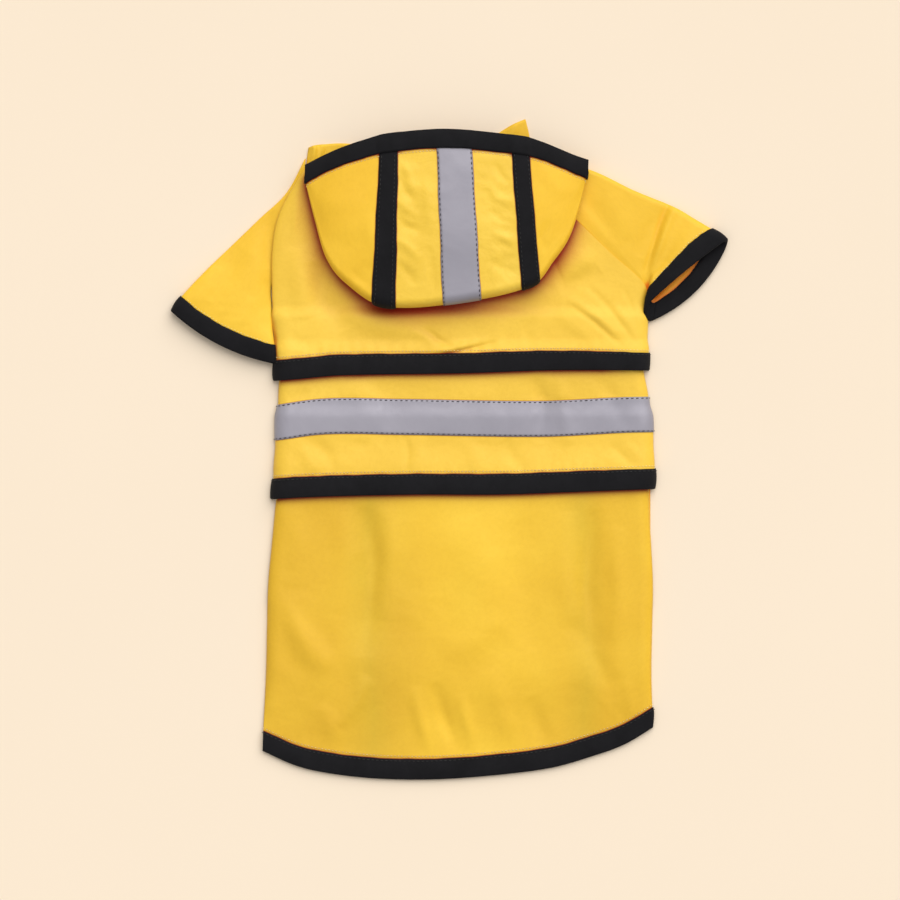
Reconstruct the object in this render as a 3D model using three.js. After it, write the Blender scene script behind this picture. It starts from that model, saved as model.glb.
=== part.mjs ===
// Dog raincoat, laid flat with its back up and its hood folded back on the yoke.
// Millimetres. X across the back, Y towards the neck, Z up, floor at z = 0.
import * as THREE from 'three';

// ---------- driving sizes ----------
const WALL = 1.0;            // cloth and tape wall
const GAP = 0.3;             // clearance between two pieces that touch
const PLY = WALL + GAP;      // step from one layer's middle to the next
const HALF = WALL / 2;
const BACK_HEIGHT = 5.1;     // middle of the back's wall above the floor
const YOKE_HEIGHT = 5.4;     // the same under the hood, where the sleeves lift it
const HEM_HEIGHT = HALF + PLY;   // the hem's wall, with one leg of its binding beneath
const FOLD_REACH = 7;        // width of the rounded fold along each side of the body
const BINDING_WIDTH = 10.5;  // leg of a binding that shows
const BINDING_UNDER = 8;     // leg that is turned under
const CUFF_WIDTH = 11;
const CUFF_GAP = 0.45;       // a little more, because the cuff's tape turns a tight fold
const HOOD_FLOOR = 8.2;      // middle of the hood's lower layer above the floor

// ---------- outlines ----------
// The folded sides of the body; above `ARMPIT` the right one is the raglan seam.
const ARMPIT = 91;
const bodySides = [
  { y: -170, left: -103.4, right: 111.6 },
  { y: -153, left: -102.6, right: 111.5 },
  { y: -122, left: -101.2, right: 110.8 },
  { y: -99, left: -100.7, right: 111.2 },
  { y: -74, left: -100.0, right: 111.6 },
  { y: -52, left: -98.0, right: 110.6 },
  { y: -34, left: -96.3, right: 109.6 },
  { y: -18, left: -94.6, right: 109.6 },
  { y: 5, left: -94.8, right: 110.6 },
  { y: 30, left: -94.4, right: 109.0 },
  { y: 46, left: -93.8, right: 106.2 },
  { y: 60, left: -95.3, right: 105.8 },
  { y: 80, left: -97.6, right: 105.2 },
  { y: 91, left: -98.0, right: 104.6 },
  { y: 108, left: -98.0, right: 88.8 },
  { y: 126, left: -95.2, right: 70.2 },
  { y: 142, left: -87.8, right: 53.2 },
  { y: 158, left: -77.0, right: 37.0 },
];
const neckEdge = [
  { x: -110, y: 159 }, { x: -77, y: 157.6 }, { x: -34, y: 153.4 },
  { x: 3, y: 152.2 }, { x: 39, y: 154.6 }, { x: 120, y: 156 },
];
const yokeHem = [
  { x: -110, y: 37.6 }, { x: -83, y: 40.0 }, { x: -60, y: 42.0 },
  { x: 6, y: 43.1 }, { x: 59, y: 44.8 }, { x: 115, y: 44.6 },
];
const middleHem = [
  { x: -110, y: -27.6 }, { x: -83, y: -25.2 }, { x: -24, y: -23.6 },
  { x: 28, y: -23.5 }, { x: 77, y: -21.8 }, { x: 115, y: -20.4 },
];
const tapeTop = [
  { x: -100, y: 24.0 }, { x: -69, y: 28.2 }, { x: -24, y: 27.9 },
  { x: 50, y: 26.9 }, { x: 95, y: 29.0 }, { x: 114, y: 29.4 },
];
const skirtHem = [
  { x: -106, y: -163.4 }, { x: -85, y: -172.8 }, { x: -67, y: -177.0 },
  { x: -40, y: -180.0 }, { x: -7, y: -180.4 }, { x: 30, y: -177.6 },
  { x: 57, y: -173.8 }, { x: 78, y: -167.8 }, { x: 96, y: -161.2 }, { x: 114, y: -150.4 },
];
const TAPE_WIDTH = 19.5;
const MIDDLE_TOP = 66;       // the second tier's top edge, under the yoke
const SKIRT_TOP = 12;        // the skirt's top edge, under the second tier

// The belly and chest halves. `outer` is the side seam and, above it, the front raglan seam.
const BELLY_SIDE = -82;
const BELLY_CENTRE = -133;
const OVERLAP = 18;          // the left half laps over the right one
const leftFront = [
  { y: -140, outer: -99.0 }, { y: -82, outer: -98.6 }, { y: 0, outer: -94.0 },
  { y: 40, outer: -93.0 }, { y: 80, outer: -92.8 }, { y: 168.5, outer: -77.6 },
];
const rightFront = [
  { y: -140, outer: 110.0 }, { y: -82, outer: 110.2 }, { y: 0, outer: 109.8 },
  { y: 60, outer: 104.6 }, { y: 172, outer: 43.0 }, { y: 182.2, outer: 40.4 },
];
const leftNeck = [
  { x: -79, y: 166.4 }, { x: -72, y: 168.2 }, { x: -54, y: 168.4 },
  { x: -30, y: 160.0 }, { x: 10, y: 152.0 },
];
const rightNeck = [
  { x: -12, y: 152.0 }, { x: 10, y: 160.0 }, { x: 26, y: 174.0 },
  { x: 34, y: 179.0 }, { x: 41, y: 182.2 },
];

// Broad soft folds of the back: from (x0, y0) to (x1, y1), half width, depth.
const folds = [
  { x0: -42, y0: -34, x1: -44, y1: -108, half: 13, depth: -0.9 },
  { x0: 76, y0: -40, x1: 84, y1: -126, half: 12, depth: -0.9 },
  { x0: -96, y0: -84, x1: -62, y1: -124, half: 11, depth: 0.8 },
  { x0: 16, y0: -36, x1: 22, y1: -150, half: 18, depth: 0.6 },
  { x0: 52, y0: 34, x1: 56, y1: -18, half: 11, depth: -0.7 },
  { x0: 70, y0: 84, x1: 96, y1: 56, half: 11, depth: 0.7 },
];

// ---------- helpers ----------
const clamp01 = (q) => Math.min(1, Math.max(0, q));
const mix = (a, b, q) => a + (b - a) * q;
const smooth = (a, b, q) => {
  const k = clamp01((q - a) / (b - a));
  return k * k * (3 - 2 * k);
};
const quarterRound = (q) => Math.sqrt(1 - (1 - clamp01(q)) ** 2);

// A smooth curve through a table: `key` is the input column, `out` the value.
function curve(rows, key, out) {
  const sorted = [...rows].sort((a, b) => a[key] - b[key]);
  const slope = sorted.map((row, i) => {
    const a = sorted[Math.max(0, i - 1)];
    const b = sorted[Math.min(sorted.length - 1, i + 1)];
    return (b[out] - a[out]) / (b[key] - a[key]);
  });
  return (q) => {
    let i = 0;
    while (i < sorted.length - 2 && q > sorted[i + 1][key]) i += 1;
    const a = sorted[i];
    const b = sorted[i + 1];
    const span = b[key] - a[key];
    const k = clamp01((q - a[key]) / span);
    const rise = (2 * k ** 3 - 3 * k ** 2 + 1) * a[out] + (3 * k ** 2 - 2 * k ** 3) * b[out];
    return rise + span * ((k ** 3 - 2 * k ** 2 + k) * slope[i] + (k ** 3 - k ** 2) * slope[i + 1]);
  };
}

const evenly = (n) => Array.from({ length: n + 1 }, (_, i) => i / n);
const between = (a, b, n) => evenly(n).map((k) => mix(a, b, k));

// A closed solid from a ring of points swept along stations; `loop` joins the last to the first.
function sweptSolid(rings, loop) {
  const m = rings[0].length;
  const positions = rings.flat().flatMap((p) => [p.x, p.y, p.z]);
  const index = [];
  const spans = loop ? rings.length : rings.length - 1;
  for (let i = 0; i < spans; i += 1) {
    const next = (i + 1) % rings.length;
    for (let j = 0; j < m; j += 1) {
      const k = (j + 1) % m;
      const [a, b, c, d] = [i * m + j, next * m + j, next * m + k, i * m + k];
      index.push(a, b, c, a, c, d);
    }
  }
  if (!loop) {
    const end = (rings.length - 1) * m;
    for (const [a, b, c] of capTriangles(rings[0])) index.push(a, b, c);
    const last = capTriangles(rings[rings.length - 1]);
    for (const [a, b, c] of last) index.push(end + a, end + c, end + b);
  }
  return facingOut(positions, index);
}

// The end cap of a swept wall, in the plane that shows the most of it.
function capTriangles(ring) {
  const area = new THREE.Vector3();
  ring.forEach((p, i) => area.add(p.clone().cross(ring[(i + 1) % ring.length])));
  const axis = ['x', 'y', 'z'].sort((a, b) => Math.abs(area[b]) - Math.abs(area[a]))[0];
  const [h, v] = { x: ['y', 'z'], y: ['z', 'x'], z: ['x', 'y'] }[axis];
  const flat = ring.map((p) => new THREE.Vector2(p[h], p[v]));
  const forward = area[axis] > 0;
  return THREE.ShapeUtils.triangulateShape(flat, []).map(([a, b, c]) => {
    const turned = flat[b].clone().sub(flat[a]).cross(flat[c].clone().sub(flat[a])) > 0;
    return turned === forward ? [a, b, c] : [a, c, b];
  });
}

// Turns the faces round if the solid came out inside out, and keeps it on the floor.
function facingOut(positions, index) {
  let volume = 0;
  const at = (i) => new THREE.Vector3().fromArray(positions, i * 3);
  for (let i = 0; i < index.length; i += 3) {
    volume += at(index[i]).dot(at(index[i + 1]).cross(at(index[i + 2])));
  }
  if (volume < 0) {
    for (let i = 0; i < index.length; i += 3) [index[i], index[i + 1]] = [index[i + 1], index[i]];
  }
  const onFloor = positions.map((q, i) => (i % 3 === 2 ? Math.max(0, q) : q));
  const geometry = new THREE.BufferGeometry();
  geometry.setAttribute('position', new THREE.Float32BufferAttribute(onFloor, 3));
  geometry.setIndex(index);
  return geometry;
}

// A cloth wall: `at(i, j)` gives a middle point and its outward normal on an n by m grid.
function clothWall(n, m, at) {
  const rings = [];
  for (let i = 0; i < n; i += 1) {
    const top = [];
    const under = [];
    for (let j = 0; j < m; j += 1) {
      const { p, normal } = at(i, j);
      top.push(p.clone().addScaledVector(normal, HALF));
      under.unshift(p.clone().addScaledVector(normal, -HALF));
    }
    rings.push([...top, ...under]);
  }
  return sweptGrid(rings, m);
}

// The ends of a cloth wall are strips of quads, so every cap triangle stays small.
function sweptGrid(rings, m) {
  const size = 2 * m;
  const positions = rings.flat().flatMap((p) => [p.x, p.y, p.z]);
  const index = [];
  for (let i = 0; i < rings.length - 1; i += 1) {
    for (let j = 0; j < size; j += 1) {
      const k = (j + 1) % size;
      const [a, b] = [i * size + j, (i + 1) * size + j];
      const [c, d] = [(i + 1) * size + k, i * size + k];
      index.push(a, b, c, a, c, d);
    }
  }
  const end = (rings.length - 1) * size;
  for (let j = 0; j < m - 1; j += 1) {
    const [a, b, c, d] = [j, j + 1, size - 2 - j, size - 1 - j];
    index.push(a, b, c, a, c, d);
    index.push(end + a, end + c, end + b, end + a, end + d, end + c);
  }
  return facingOut(positions, index);
}

const group = new THREE.Group();
const finishes = {
  shell: { color: 0xf2c53d, roughness: 0.55, metalness: 0.0 },
  tape: { color: 0xa5a1ad, roughness: 0.4, metalness: 0.1 },
  binding: { color: 0x1f1f23, roughness: 0.8, metalness: 0.0 },
};
function add(name, finish, geometry) {
  const mesh = new THREE.Mesh(geometry, new THREE.MeshStandardMaterial(finishes[finish]));
  mesh.name = name;
  group.add(mesh);
}

// ---------- the form of the back ----------
const sideLeft = curve(bodySides, 'y', 'left');
const sideRight = curve(bodySides, 'y', 'right');

function foldRelief(x, y) {
  return folds.reduce((sum, f) => {
    const along = new THREE.Vector2(f.x1 - f.x0, f.y1 - f.y0);
    const from = new THREE.Vector2(x - f.x0, y - f.y0);
    const k = from.dot(along) / along.lengthSq();
    const off = from.addScaledVector(along, -clamp01(k)).length() / f.half;
    const taper = smooth(-0.15, 0.25, k) * (1 - smooth(0.75, 1.15, k));
    return sum + f.depth * taper * Math.exp(-off * off);
  }, 0);
}

const SLEEVE_LIFT = 2.0;     // how far the left side fold stands over the flattened sleeve
function backHeight(y) {
  const upper = mix(BACK_HEIGHT, YOKE_HEIGHT, smooth(45, 95, y));
  return mix(HEM_HEIGHT, upper, smooth(-166, -112, y));
}
// Height of the foot of the side fold: on the front's edge, on the floor or on a sleeve.
function foldFoot(y, leftSide) {
  const onFront = mix(0, WALL + GAP, smooth(BELLY_SIDE - 8, BELLY_SIDE, y));
  const onSleeve = leftSide ? SLEEVE_LIFT * smooth(67, 77, y) : 0;
  return mix(HEM_HEIGHT, onFront + onSleeve, smooth(-158, -126, y));
}

// Positions across the back: the folded strips at both sides and even steps between them.
const FOLD_STEPS = 3;
const MIDDLE_STEPS = 8;
const COLUMNS = 2 * FOLD_STEPS + MIDDLE_STEPS;
function across(column, left, right) {
  const turn = (k) => FOLD_REACH * (1 - Math.cos((k / FOLD_STEPS) * (Math.PI / 2)));
  if (column <= FOLD_STEPS) return left + turn(column);
  if (column >= COLUMNS - FOLD_STEPS) return right - turn(COLUMNS - column);
  const k = (column - FOLD_STEPS) / MIDDLE_STEPS;
  return mix(left + FOLD_REACH, right - FOLD_REACH, k);
}

// Middle surface of the back at (x, y), and its outward normal.
function backForm(x, y) {
  const [left, right] = [sideLeft(y), sideRight(y)];
  const nearLeft = x - left < right - x;
  const reach = Math.max(0, Math.min(x - left, right - x));
  const folded = nearLeft ? 1 : 1 - smooth(ARMPIT - 9, ARMPIT + 3, y);
  const top = backHeight(y);
  const foot = foldFoot(y, nearLeft);
  const rise = (top - foot) * folded;
  const inner = smooth(0, 3 * FOLD_REACH, reach);
  const flat = Math.min(1, reach / FOLD_REACH);
  const relief = foldRelief(x, y) * inner * smooth(-172, -150, y);
  const z = top - rise * (1 - quarterRound(flat)) + relief;
  const side = nearLeft ? -1 : 1;
  const turn = Math.acos(1 - flat);
  const strength = clamp01(rise / 3);
  const slope = (backHeight(y + 1) - backHeight(y - 1)) / 2;
  const rolled = new THREE.Vector3(side * rise * Math.cos(turn), 0, FOLD_REACH * Math.sin(turn) + 1e-6);
  const normal = rolled.normalize().lerp(new THREE.Vector3(0, 0, 1), 1 - strength).normalize();
  normal.y = -slope * normal.z;
  return { p: new THREE.Vector3(x, y, z), normal: normal.normalize() };
}

// A tier of the back between two edges, moved out by `offset(y)`.
function tier(top, bottom, offset) {
  const point = (column, t) => {
    let x = 0;
    let y = 0;
    for (let pass = 0; pass < 6; pass += 1) {
      y = mix(top(x), bottom(x), t);
      x = across(column, sideLeft(y), sideRight(y));
    }
    const { p, normal } = backForm(x, y);
    return { p: p.addScaledVector(normal, offset(y)), normal };
  };
  const drop = (column) => point(column, 0).p.distanceTo(point(column, 1).p);
  return { point, drop };
}
const tierWall = (piece, rows) =>
  clothWall(COLUMNS + 1, rows + 1, (i, j) => piece.point(i, j / rows));

// A folded tape round the lower edge of a tier: two legs and a rounded edge.
function edgeBinding(piece) {
  const inside = HALF + GAP;
  const outside = inside + WALL;
  const edge = GAP + WALL;
  const section = [
    [-BINDING_WIDTH + edge, inside], [-BINDING_WIDTH / 2, inside], [GAP, inside],
    [GAP, -inside], [-BINDING_UNDER / 2, -inside], [-BINDING_UNDER + edge, -inside],
    [-BINDING_UNDER + edge, -outside], [-BINDING_UNDER / 2, -outside], [edge - HALF, -outside],
    [edge, -inside], [edge, inside], [edge - HALF, outside],
    [-BINDING_WIDTH / 2, outside], [-BINDING_WIDTH + edge, outside],
  ];
  const rings = [];
  for (let column = 0; column <= COLUMNS; column += 1) {
    const length = piece.drop(column);
    const end = piece.point(column, 1);
    const before = piece.point(column, 1 - 1 / length).p;
    const outward = end.p.clone().sub(before).normalize();
    rings.push(section.map(([reach, lift]) => {
      const from = reach < 0 ? piece.point(column, 1 + reach / length) : end;
      const p = from.p.clone().addScaledVector(from.normal, lift);
      return reach < 0 ? p : p.addScaledVector(outward, reach);
    }));
  }
  return sweptSolid(rings, false);
}

// ---------- yoke, second tier and skirt ----------
const constant = (value) => () => value;
const lapped = (low, step, high) => (y) =>
  PLY * (1 - smooth(step + 6, step + 14, y)) + PLY * (1 - smooth(low, high, y));

const yokeOffset = lapped(54, MIDDLE_TOP, 62);
const yoke = tier(curve(neckEdge, 'x', 'y'), curve(yokeHem, 'x', 'y'), yokeOffset);
add('yoke', 'shell', tierWall(yoke, 10));
add('yoke_binding', 'binding', edgeBinding(yoke));

const middleOffset = lapped(-11, SKIRT_TOP, 4);
const middleTier = tier(constant(MIDDLE_TOP), curve(middleHem, 'x', 'y'), middleOffset);
add('middle_tier', 'shell', tierWall(middleTier, 9));
add('middle_tier_binding', 'binding', edgeBinding(middleTier));

const tapeEdge = curve(tapeTop, 'x', 'y');
const tape = tier(tapeEdge, (x) => tapeEdge(x) - TAPE_WIDTH, (y) => middleOffset(y) + PLY);
add('middle_tier_tape', 'tape', tierWall(tape, 3));

const skirt = tier(constant(SKIRT_TOP), curve(skirtHem, 'x', 'y'), constant(0));
add('skirt', 'shell', tierWall(skirt, 14));
add('hem_binding', 'binding', edgeBinding(skirt));

// ---------- sleeves ----------
// A row per section from the raglan seam to the cuff. (ux, uy) is the fold along the top of
// the sleeve, (lx, ly) the fold by the body, `bow` how far the section curves out between
// them, `floor` the middle of the lower layer, `fold` the height of the folded edges and
// `puff` the extra height halfway.
const leftSleeveRows = [
  { ux: -79.6, uy: 160.5, lx: -93.6, ly: 103.0, bow: -3.4, floor: 0.5, fold: 1.3, puff: 0.0 },
  { ux: -90.0, uy: 141.5, lx: -96.4, ly: 97.0, bow: -3.0, floor: 0.5, fold: 1.3, puff: 0.0 },
  { ux: -105.0, uy: 127.0, lx: -98.8, ly: 89.0, bow: -1.0, floor: 0.5, fold: 1.4, puff: 0.8 },
  { ux: -120.5, uy: 112.0, lx: -99.8, ly: 79.0, bow: 0.0, floor: 0.5, fold: 2.2, puff: 2.6 },
  { ux: -134.0, uy: 99.0, lx: -100.2, ly: 67.0, bow: 0.0, floor: 0.8, fold: 3.2, puff: 1.8 },
  { ux: -146.6, uy: 85.8, lx: -100.8, ly: 59.0, bow: 0.0, floor: 1.95, fold: 4.6, puff: 0.3 },
  { ux: -151.4, uy: 77.6, lx: -100.8, ly: 50.6, bow: 3.6, floor: 1.95, fold: 4.6, puff: 0.2 },
];
const rightSleeveTop = [
  { ux: 42.0, uy: 157.6, lx: 107.0, ly: 93.2, bow: 0.0, floor: 0.5, fold: 4.9, puff: 0.0 },
  { ux: 74.0, uy: 155.0, lx: 107.4, ly: 94.2, bow: 0.0, floor: 0.5, fold: 4.9, puff: 0.0 },
  { ux: 101.5, uy: 142.6, lx: 108.0, ly: 94.8, bow: 0.0, floor: 0.5, fold: 4.6, puff: 0.3 },
  { ux: 123.0, uy: 133.8, lx: 109.0, ly: 95.4, bow: 0.0, floor: 0.6, fold: 4.3, puff: 0.6 },
  { ux: 134.6, uy: 126.8, lx: 109.8, ly: 95.6, bow: 0.0, floor: 1.0, fold: 4.7, puff: 0.3 },
  { ux: 145.6, uy: 119.0, lx: 110.6, ly: 95.6, bow: 0.0, floor: 1.95, fold: 5.4, puff: 0.6 },
  { ux: 151.0, uy: 113.4, lx: 110.8, ly: 86.2, bow: -2.0, floor: 1.95, fold: 5.8, puff: 1.0 },
];
const rightSleeveUnder = [
  { ux: 47.4, uy: 157.6, lx: 104.4, ly: 80.6, bow: 0.0 },
  { ux: 74.0, uy: 155.0, lx: 106.6, ly: 81.2, bow: 0.0 },
  { ux: 101.5, uy: 142.6, lx: 108.6, ly: 81.4, bow: 0.0 },
  { ux: 123.0, uy: 133.8, lx: 109.8, ly: 81.6, bow: 1.0 },
  { ux: 134.6, uy: 126.8, lx: 110.6, ly: 81.6, bow: 3.0 },
  { ux: 145.6, uy: 119.0, lx: 111.2, ly: 81.4, bow: 5.0 },
  { ux: 152.1, uy: 114.2, lx: 111.4, ly: 73.8, bow: 6.6 },
];

// Value of a column at a place along the sleeve, smooth from row to row.
function sleeveColumns(rows) {
  const marked = rows.map((row, i) => ({ ...row, at: i / (rows.length - 1) }));
  const columns = Object.keys(rows[0]);
  const curves = Object.fromEntries(columns.map((c) => [c, curve(marked, 'at', c)]));
  return (along) => Object.fromEntries(columns.map((c) => [c, curves[c](along)]));
}

// A point of the section between the two folds, `k` from 0 at the body to 1 at the top.
function sectionPoint(row, k, z) {
  const chord = new THREE.Vector2(row.ux - row.lx, row.uy - row.ly);
  const out = new THREE.Vector2(chord.y, -chord.x).normalize();
  const bow = row.bow * 4 * k * (1 - k) * (row.ux > 0 ? 1 : -1);
  return new THREE.Vector3(
    mix(row.lx, row.ux, k) + out.x * bow,
    mix(row.ly, row.uy, k) + out.y * bow,
    z,
  );
}

// The whole tube of a sleeve: `around` starts and ends at the underarm seam.
function sleeveTube(topRows, underRows) {
  const topAt = sleeveColumns(topRows);
  const underAt = sleeveColumns(underRows);
  const TURN = 0.12;         // share of the way round that each folded edge takes
  const middle = (around, along) => {
    const top = topAt(along);
    const under = underAt(along);
    const radius = top.fold / 2;
    const inset = Math.min(0.2, (radius + 0.8) / Math.hypot(top.ux - top.lx, top.uy - top.ly));
    const turned = (start, from, to) => {
      const angle = ((around - start) / TURN) * Math.PI;
      const lift = (1 - Math.cos(angle)) / 2;
      const k = mix(from, to, Math.sin(angle));
      const low = sectionPoint(under, k, 0);
      const high = sectionPoint(top, k, 0);
      return low.lerp(high, lift).setZ(top.floor + top.fold * lift);
    };
    const half = 0.5 - TURN;
    if (around < TURN) return turned(0, inset, 0);
    if (around <= 0.5) {
      const k = (around - TURN) / half;
      const z = top.floor + top.fold + top.puff * Math.sin(Math.PI * k);
      return sectionPoint(top, mix(inset, 1 - inset, k), z);
    }
    if (around < 0.5 + TURN) {
      const p = turned(0.5, 1 - inset, 1);
      const angle = ((around - 0.5) / TURN) * Math.PI;
      const lift = (1 + Math.cos(angle)) / 2;
      const k = mix(1 - inset, 1, Math.sin(angle));
      const low = sectionPoint(under, k, 0);
      const high = sectionPoint(top, k, 0);
      return p.copy(low.lerp(high, lift)).setZ(top.floor + top.fold * lift);
    }
    const k = (around - 0.5 - TURN) / half;
    return sectionPoint(under, mix(1 - inset, inset, k), top.floor);
  };
  const step = 1e-3;
  const point = (around, along) => {
    const p = middle(around, along);
    const [a, b] = [Math.max(0, around - step), Math.min(1, around + step)];
    const [c, d] = [Math.max(0, along - step), Math.min(1, along + step)];
    const round = middle(b, along).sub(middle(a, along));
    const down = middle(around, d).sub(middle(around, c));
    const normal = round.clone().cross(down).normalize();
    return { p, normal: topRows[0].ux > 0 ? normal.negate() : normal, round };
  };
  return { point };
}
const SLEEVE_LENGTH = 66;     // along the sleeve, from the raglan seam to the cuff
const cuffLeg = (CUFF_WIDTH - CUFF_GAP - WALL) / SLEEVE_LENGTH;
const cuffMiddle = CUFF_WIDTH / 2 / SLEEVE_LENGTH;
const alongSteps = [...between(0, 0.7, 5), 1 - cuffLeg, 1 - cuffMiddle, 1];
// Places round the tube: close together on the folded edges. The underarm seam is left open.
const SEAM = 0.004;
const aroundSteps = [
  SEAM, 0.03, 0.06, 0.09, 0.12, 0.22, 0.31, 0.4, 0.5,
  0.53, 0.56, 0.59, 0.62, 0.75, 0.88, 1 - SEAM,
];
const sleeveWall = (tube) => clothWall(alongSteps.length, aroundSteps.length,
  (i, j) => tube.point(aroundSteps[j], alongSteps[i]));

// A ring of folded tape round the cuff's edge.
function cuffBinding(tube) {
  const inside = HALF + CUFF_GAP;
  const outside = inside + WALL;
  const edge = CUFF_GAP + WALL;
  const section = [
    [-CUFF_WIDTH + edge, inside], [-CUFF_WIDTH / 2, inside], [CUFF_GAP, inside],
    [CUFF_GAP, -inside], [-CUFF_WIDTH / 2, -inside], [-CUFF_WIDTH + edge, -inside],
    [-CUFF_WIDTH + edge, -outside], [-CUFF_WIDTH / 2, -outside], [edge - HALF, -outside],
    [edge, -inside], [edge, inside], [edge - HALF, outside],
    [-CUFF_WIDTH / 2, outside], [-CUFF_WIDTH + edge, outside],
  ];
  const rings = [0, ...aroundSteps.slice(1, -1)].map((around) => {
    const end = tube.point(around, 1);
    const inner = end.p.clone().sub(tube.point(around, 1 - 1 / SLEEVE_LENGTH).p);
    const outward = end.normal.clone().cross(end.round).normalize();
    if (outward.dot(inner) < 0) outward.negate();
    return section.map(([reach, lift]) => {
      const from = reach < 0 ? tube.point(around, 1 + reach / SLEEVE_LENGTH) : end;
      const p = from.p.clone().addScaledVector(from.normal, lift);
      return reach < 0 ? p : p.addScaledVector(outward, reach);
    });
  });
  return sweptSolid(rings, true);
}
const leftTube = sleeveTube(leftSleeveRows, leftSleeveRows);
add('sleeve_left', 'shell', sleeveWall(leftTube));
add('cuff_left_binding', 'binding', cuffBinding(leftTube));
const rightTube = sleeveTube(rightSleeveTop, rightSleeveUnder);
add('sleeve_right', 'shell', sleeveWall(rightTube));
add('cuff_right_binding', 'binding', cuffBinding(rightTube));

// ---------- belly and chest ----------
// `toEdge` runs from 0 at the centre to 1 at the outer edge.
function frontHalf(sides, neck, centreX, lapHeight) {
  const outer = curve(sides, 'y', 'outer');
  const top = curve(neck, 'x', 'y');
  const reach = outer(BELLY_SIDE) - centreX;
  const bottom = (x) => {
    const k = clamp01((x - centreX) / reach);
    return mix(BELLY_CENTRE, BELLY_SIDE, k ** 3);
  };
  return (toEdge, t) => {
    let x = centreX;
    let y = 0;
    for (let pass = 0; pass < 12; pass += 1) {
      y = mix(bottom(x), top(x), t);
      x = mix(centreX, outer(y), toEdge);
    }
    const z = HALF + lapHeight(x);
    return { p: new THREE.Vector3(x, y, z), normal: new THREE.Vector3(0, 0, 1) };
  };
}
// The front raglan seam runs along a sleeve's first section, a little inside it.
const RAGLAN_GAP = 0.8;
function withRaglan(sides, row) {
  const inward = row.ux > 0 ? -RAGLAN_GAP : RAGLAN_GAP;
  const seam = [0, 0.2, 0.4, 0.6, 0.8, 1].map((k) => {
    const p = sectionPoint(row, k, 0);
    return { y: p.y, outer: p.x + inward };
  });
  return [...sides, ...seam];
}
const CENTRE = 4;            // x of the belly's middle
const LAP_RAMP = 5;
const rightEdge = CENTRE - OVERLAP / 2;
const leftEdge = CENTRE + OVERLAP / 2;
const lapOver = (x) => PLY * smooth(rightEdge - LAP_RAMP, rightEdge - 1, x);
const leftHalf = frontHalf(withRaglan(leftFront, leftSleeveRows[0]), leftNeck, leftEdge, lapOver);
const rightHalf = frontHalf(withRaglan(rightFront, rightSleeveUnder[0]), rightNeck, rightEdge, constant(0));
const FRONT_ROWS = 12;
const leftPositions = [0, 0.17, 0.19, 0.21, 0.23, 0.5, 0.75, 1];
add('front_left', 'shell', clothWall(leftPositions.length, FRONT_ROWS + 1,
  (i, j) => leftHalf(leftPositions[i], j / FRONT_ROWS)));
const rightPositions = evenly(5);
add('front_right', 'shell', clothWall(rightPositions.length, FRONT_ROWS + 1,
  (i, j) => rightHalf(rightPositions[i], j / FRONT_ROWS)));

// ---------- hood ----------
// A row per section from left to right: the face opening (rx, ry, rz), the crown fold
// (fx, fy), the neck seam (nx, ny) and the greatest height of the upper layer.
const hoodRows = [
  { at: 0.00, rx: -79.4, ry: 155.6, rz: 11.4, fx: -79.0, fy: 146.2, nx: -77.0, ny: 156.0, top: 11.8 },
  { at: 0.10, rx: -70.4, ry: 160.2, rz: 12.6, fx: -74.0, fy: 126.0, nx: -69.0, ny: 156.0, top: 14.2 },
  { at: 0.20, rx: -60.0, ry: 164.8, rz: 14.0, fx: -67.6, fy: 105.0, nx: -58.0, ny: 155.2, top: 17.0 },
  { at: 0.30, rx: -47.0, ry: 169.2, rz: 15.0, fx: -56.4, fy: 92.4, nx: -46.0, ny: 154.4, top: 18.8 },
  { at: 0.38, rx: -33.6, ry: 172.6, rz: 15.6, fx: -36.6, fy: 80.6, nx: -34.0, ny: 153.6, top: 19.8 },
  { at: 0.50, rx: -2.0, ry: 175.0, rz: 16.2, fx: 2.6, fy: 82.6, nx: 0.0, ny: 152.6, top: 20.2 },
  { at: 0.66, rx: 38.8, ry: 171.2, rz: 15.6, fx: 45.0, fy: 91.0, nx: 38.0, ny: 154.6, top: 19.6 },
  { at: 0.74, rx: 50.0, ry: 168.2, rz: 15.0, fx: 56.6, fy: 103.4, nx: 48.0, ny: 155.2, top: 18.4 },
  { at: 0.82, rx: 59.6, ry: 164.4, rz: 14.0, fx: 65.0, fy: 116.0, nx: 57.0, ny: 155.6, top: 16.6 },
  { at: 0.91, rx: 68.4, ry: 160.8, rz: 12.6, fx: 70.6, fy: 132.0, nx: 66.0, ny: 156.0, top: 14.2 },
  { at: 1.00, rx: 75.8, ry: 158.4, rz: 11.4, fx: 74.6, fy: 149.0, nx: 73.0, ny: 156.0, top: 11.8 },
];
const hoodCurves = Object.fromEntries(
  Object.keys(hoodRows[0]).filter((c) => c !== 'at').map((c) => [c, curve(hoodRows, 'at', c)]),
);

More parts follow.
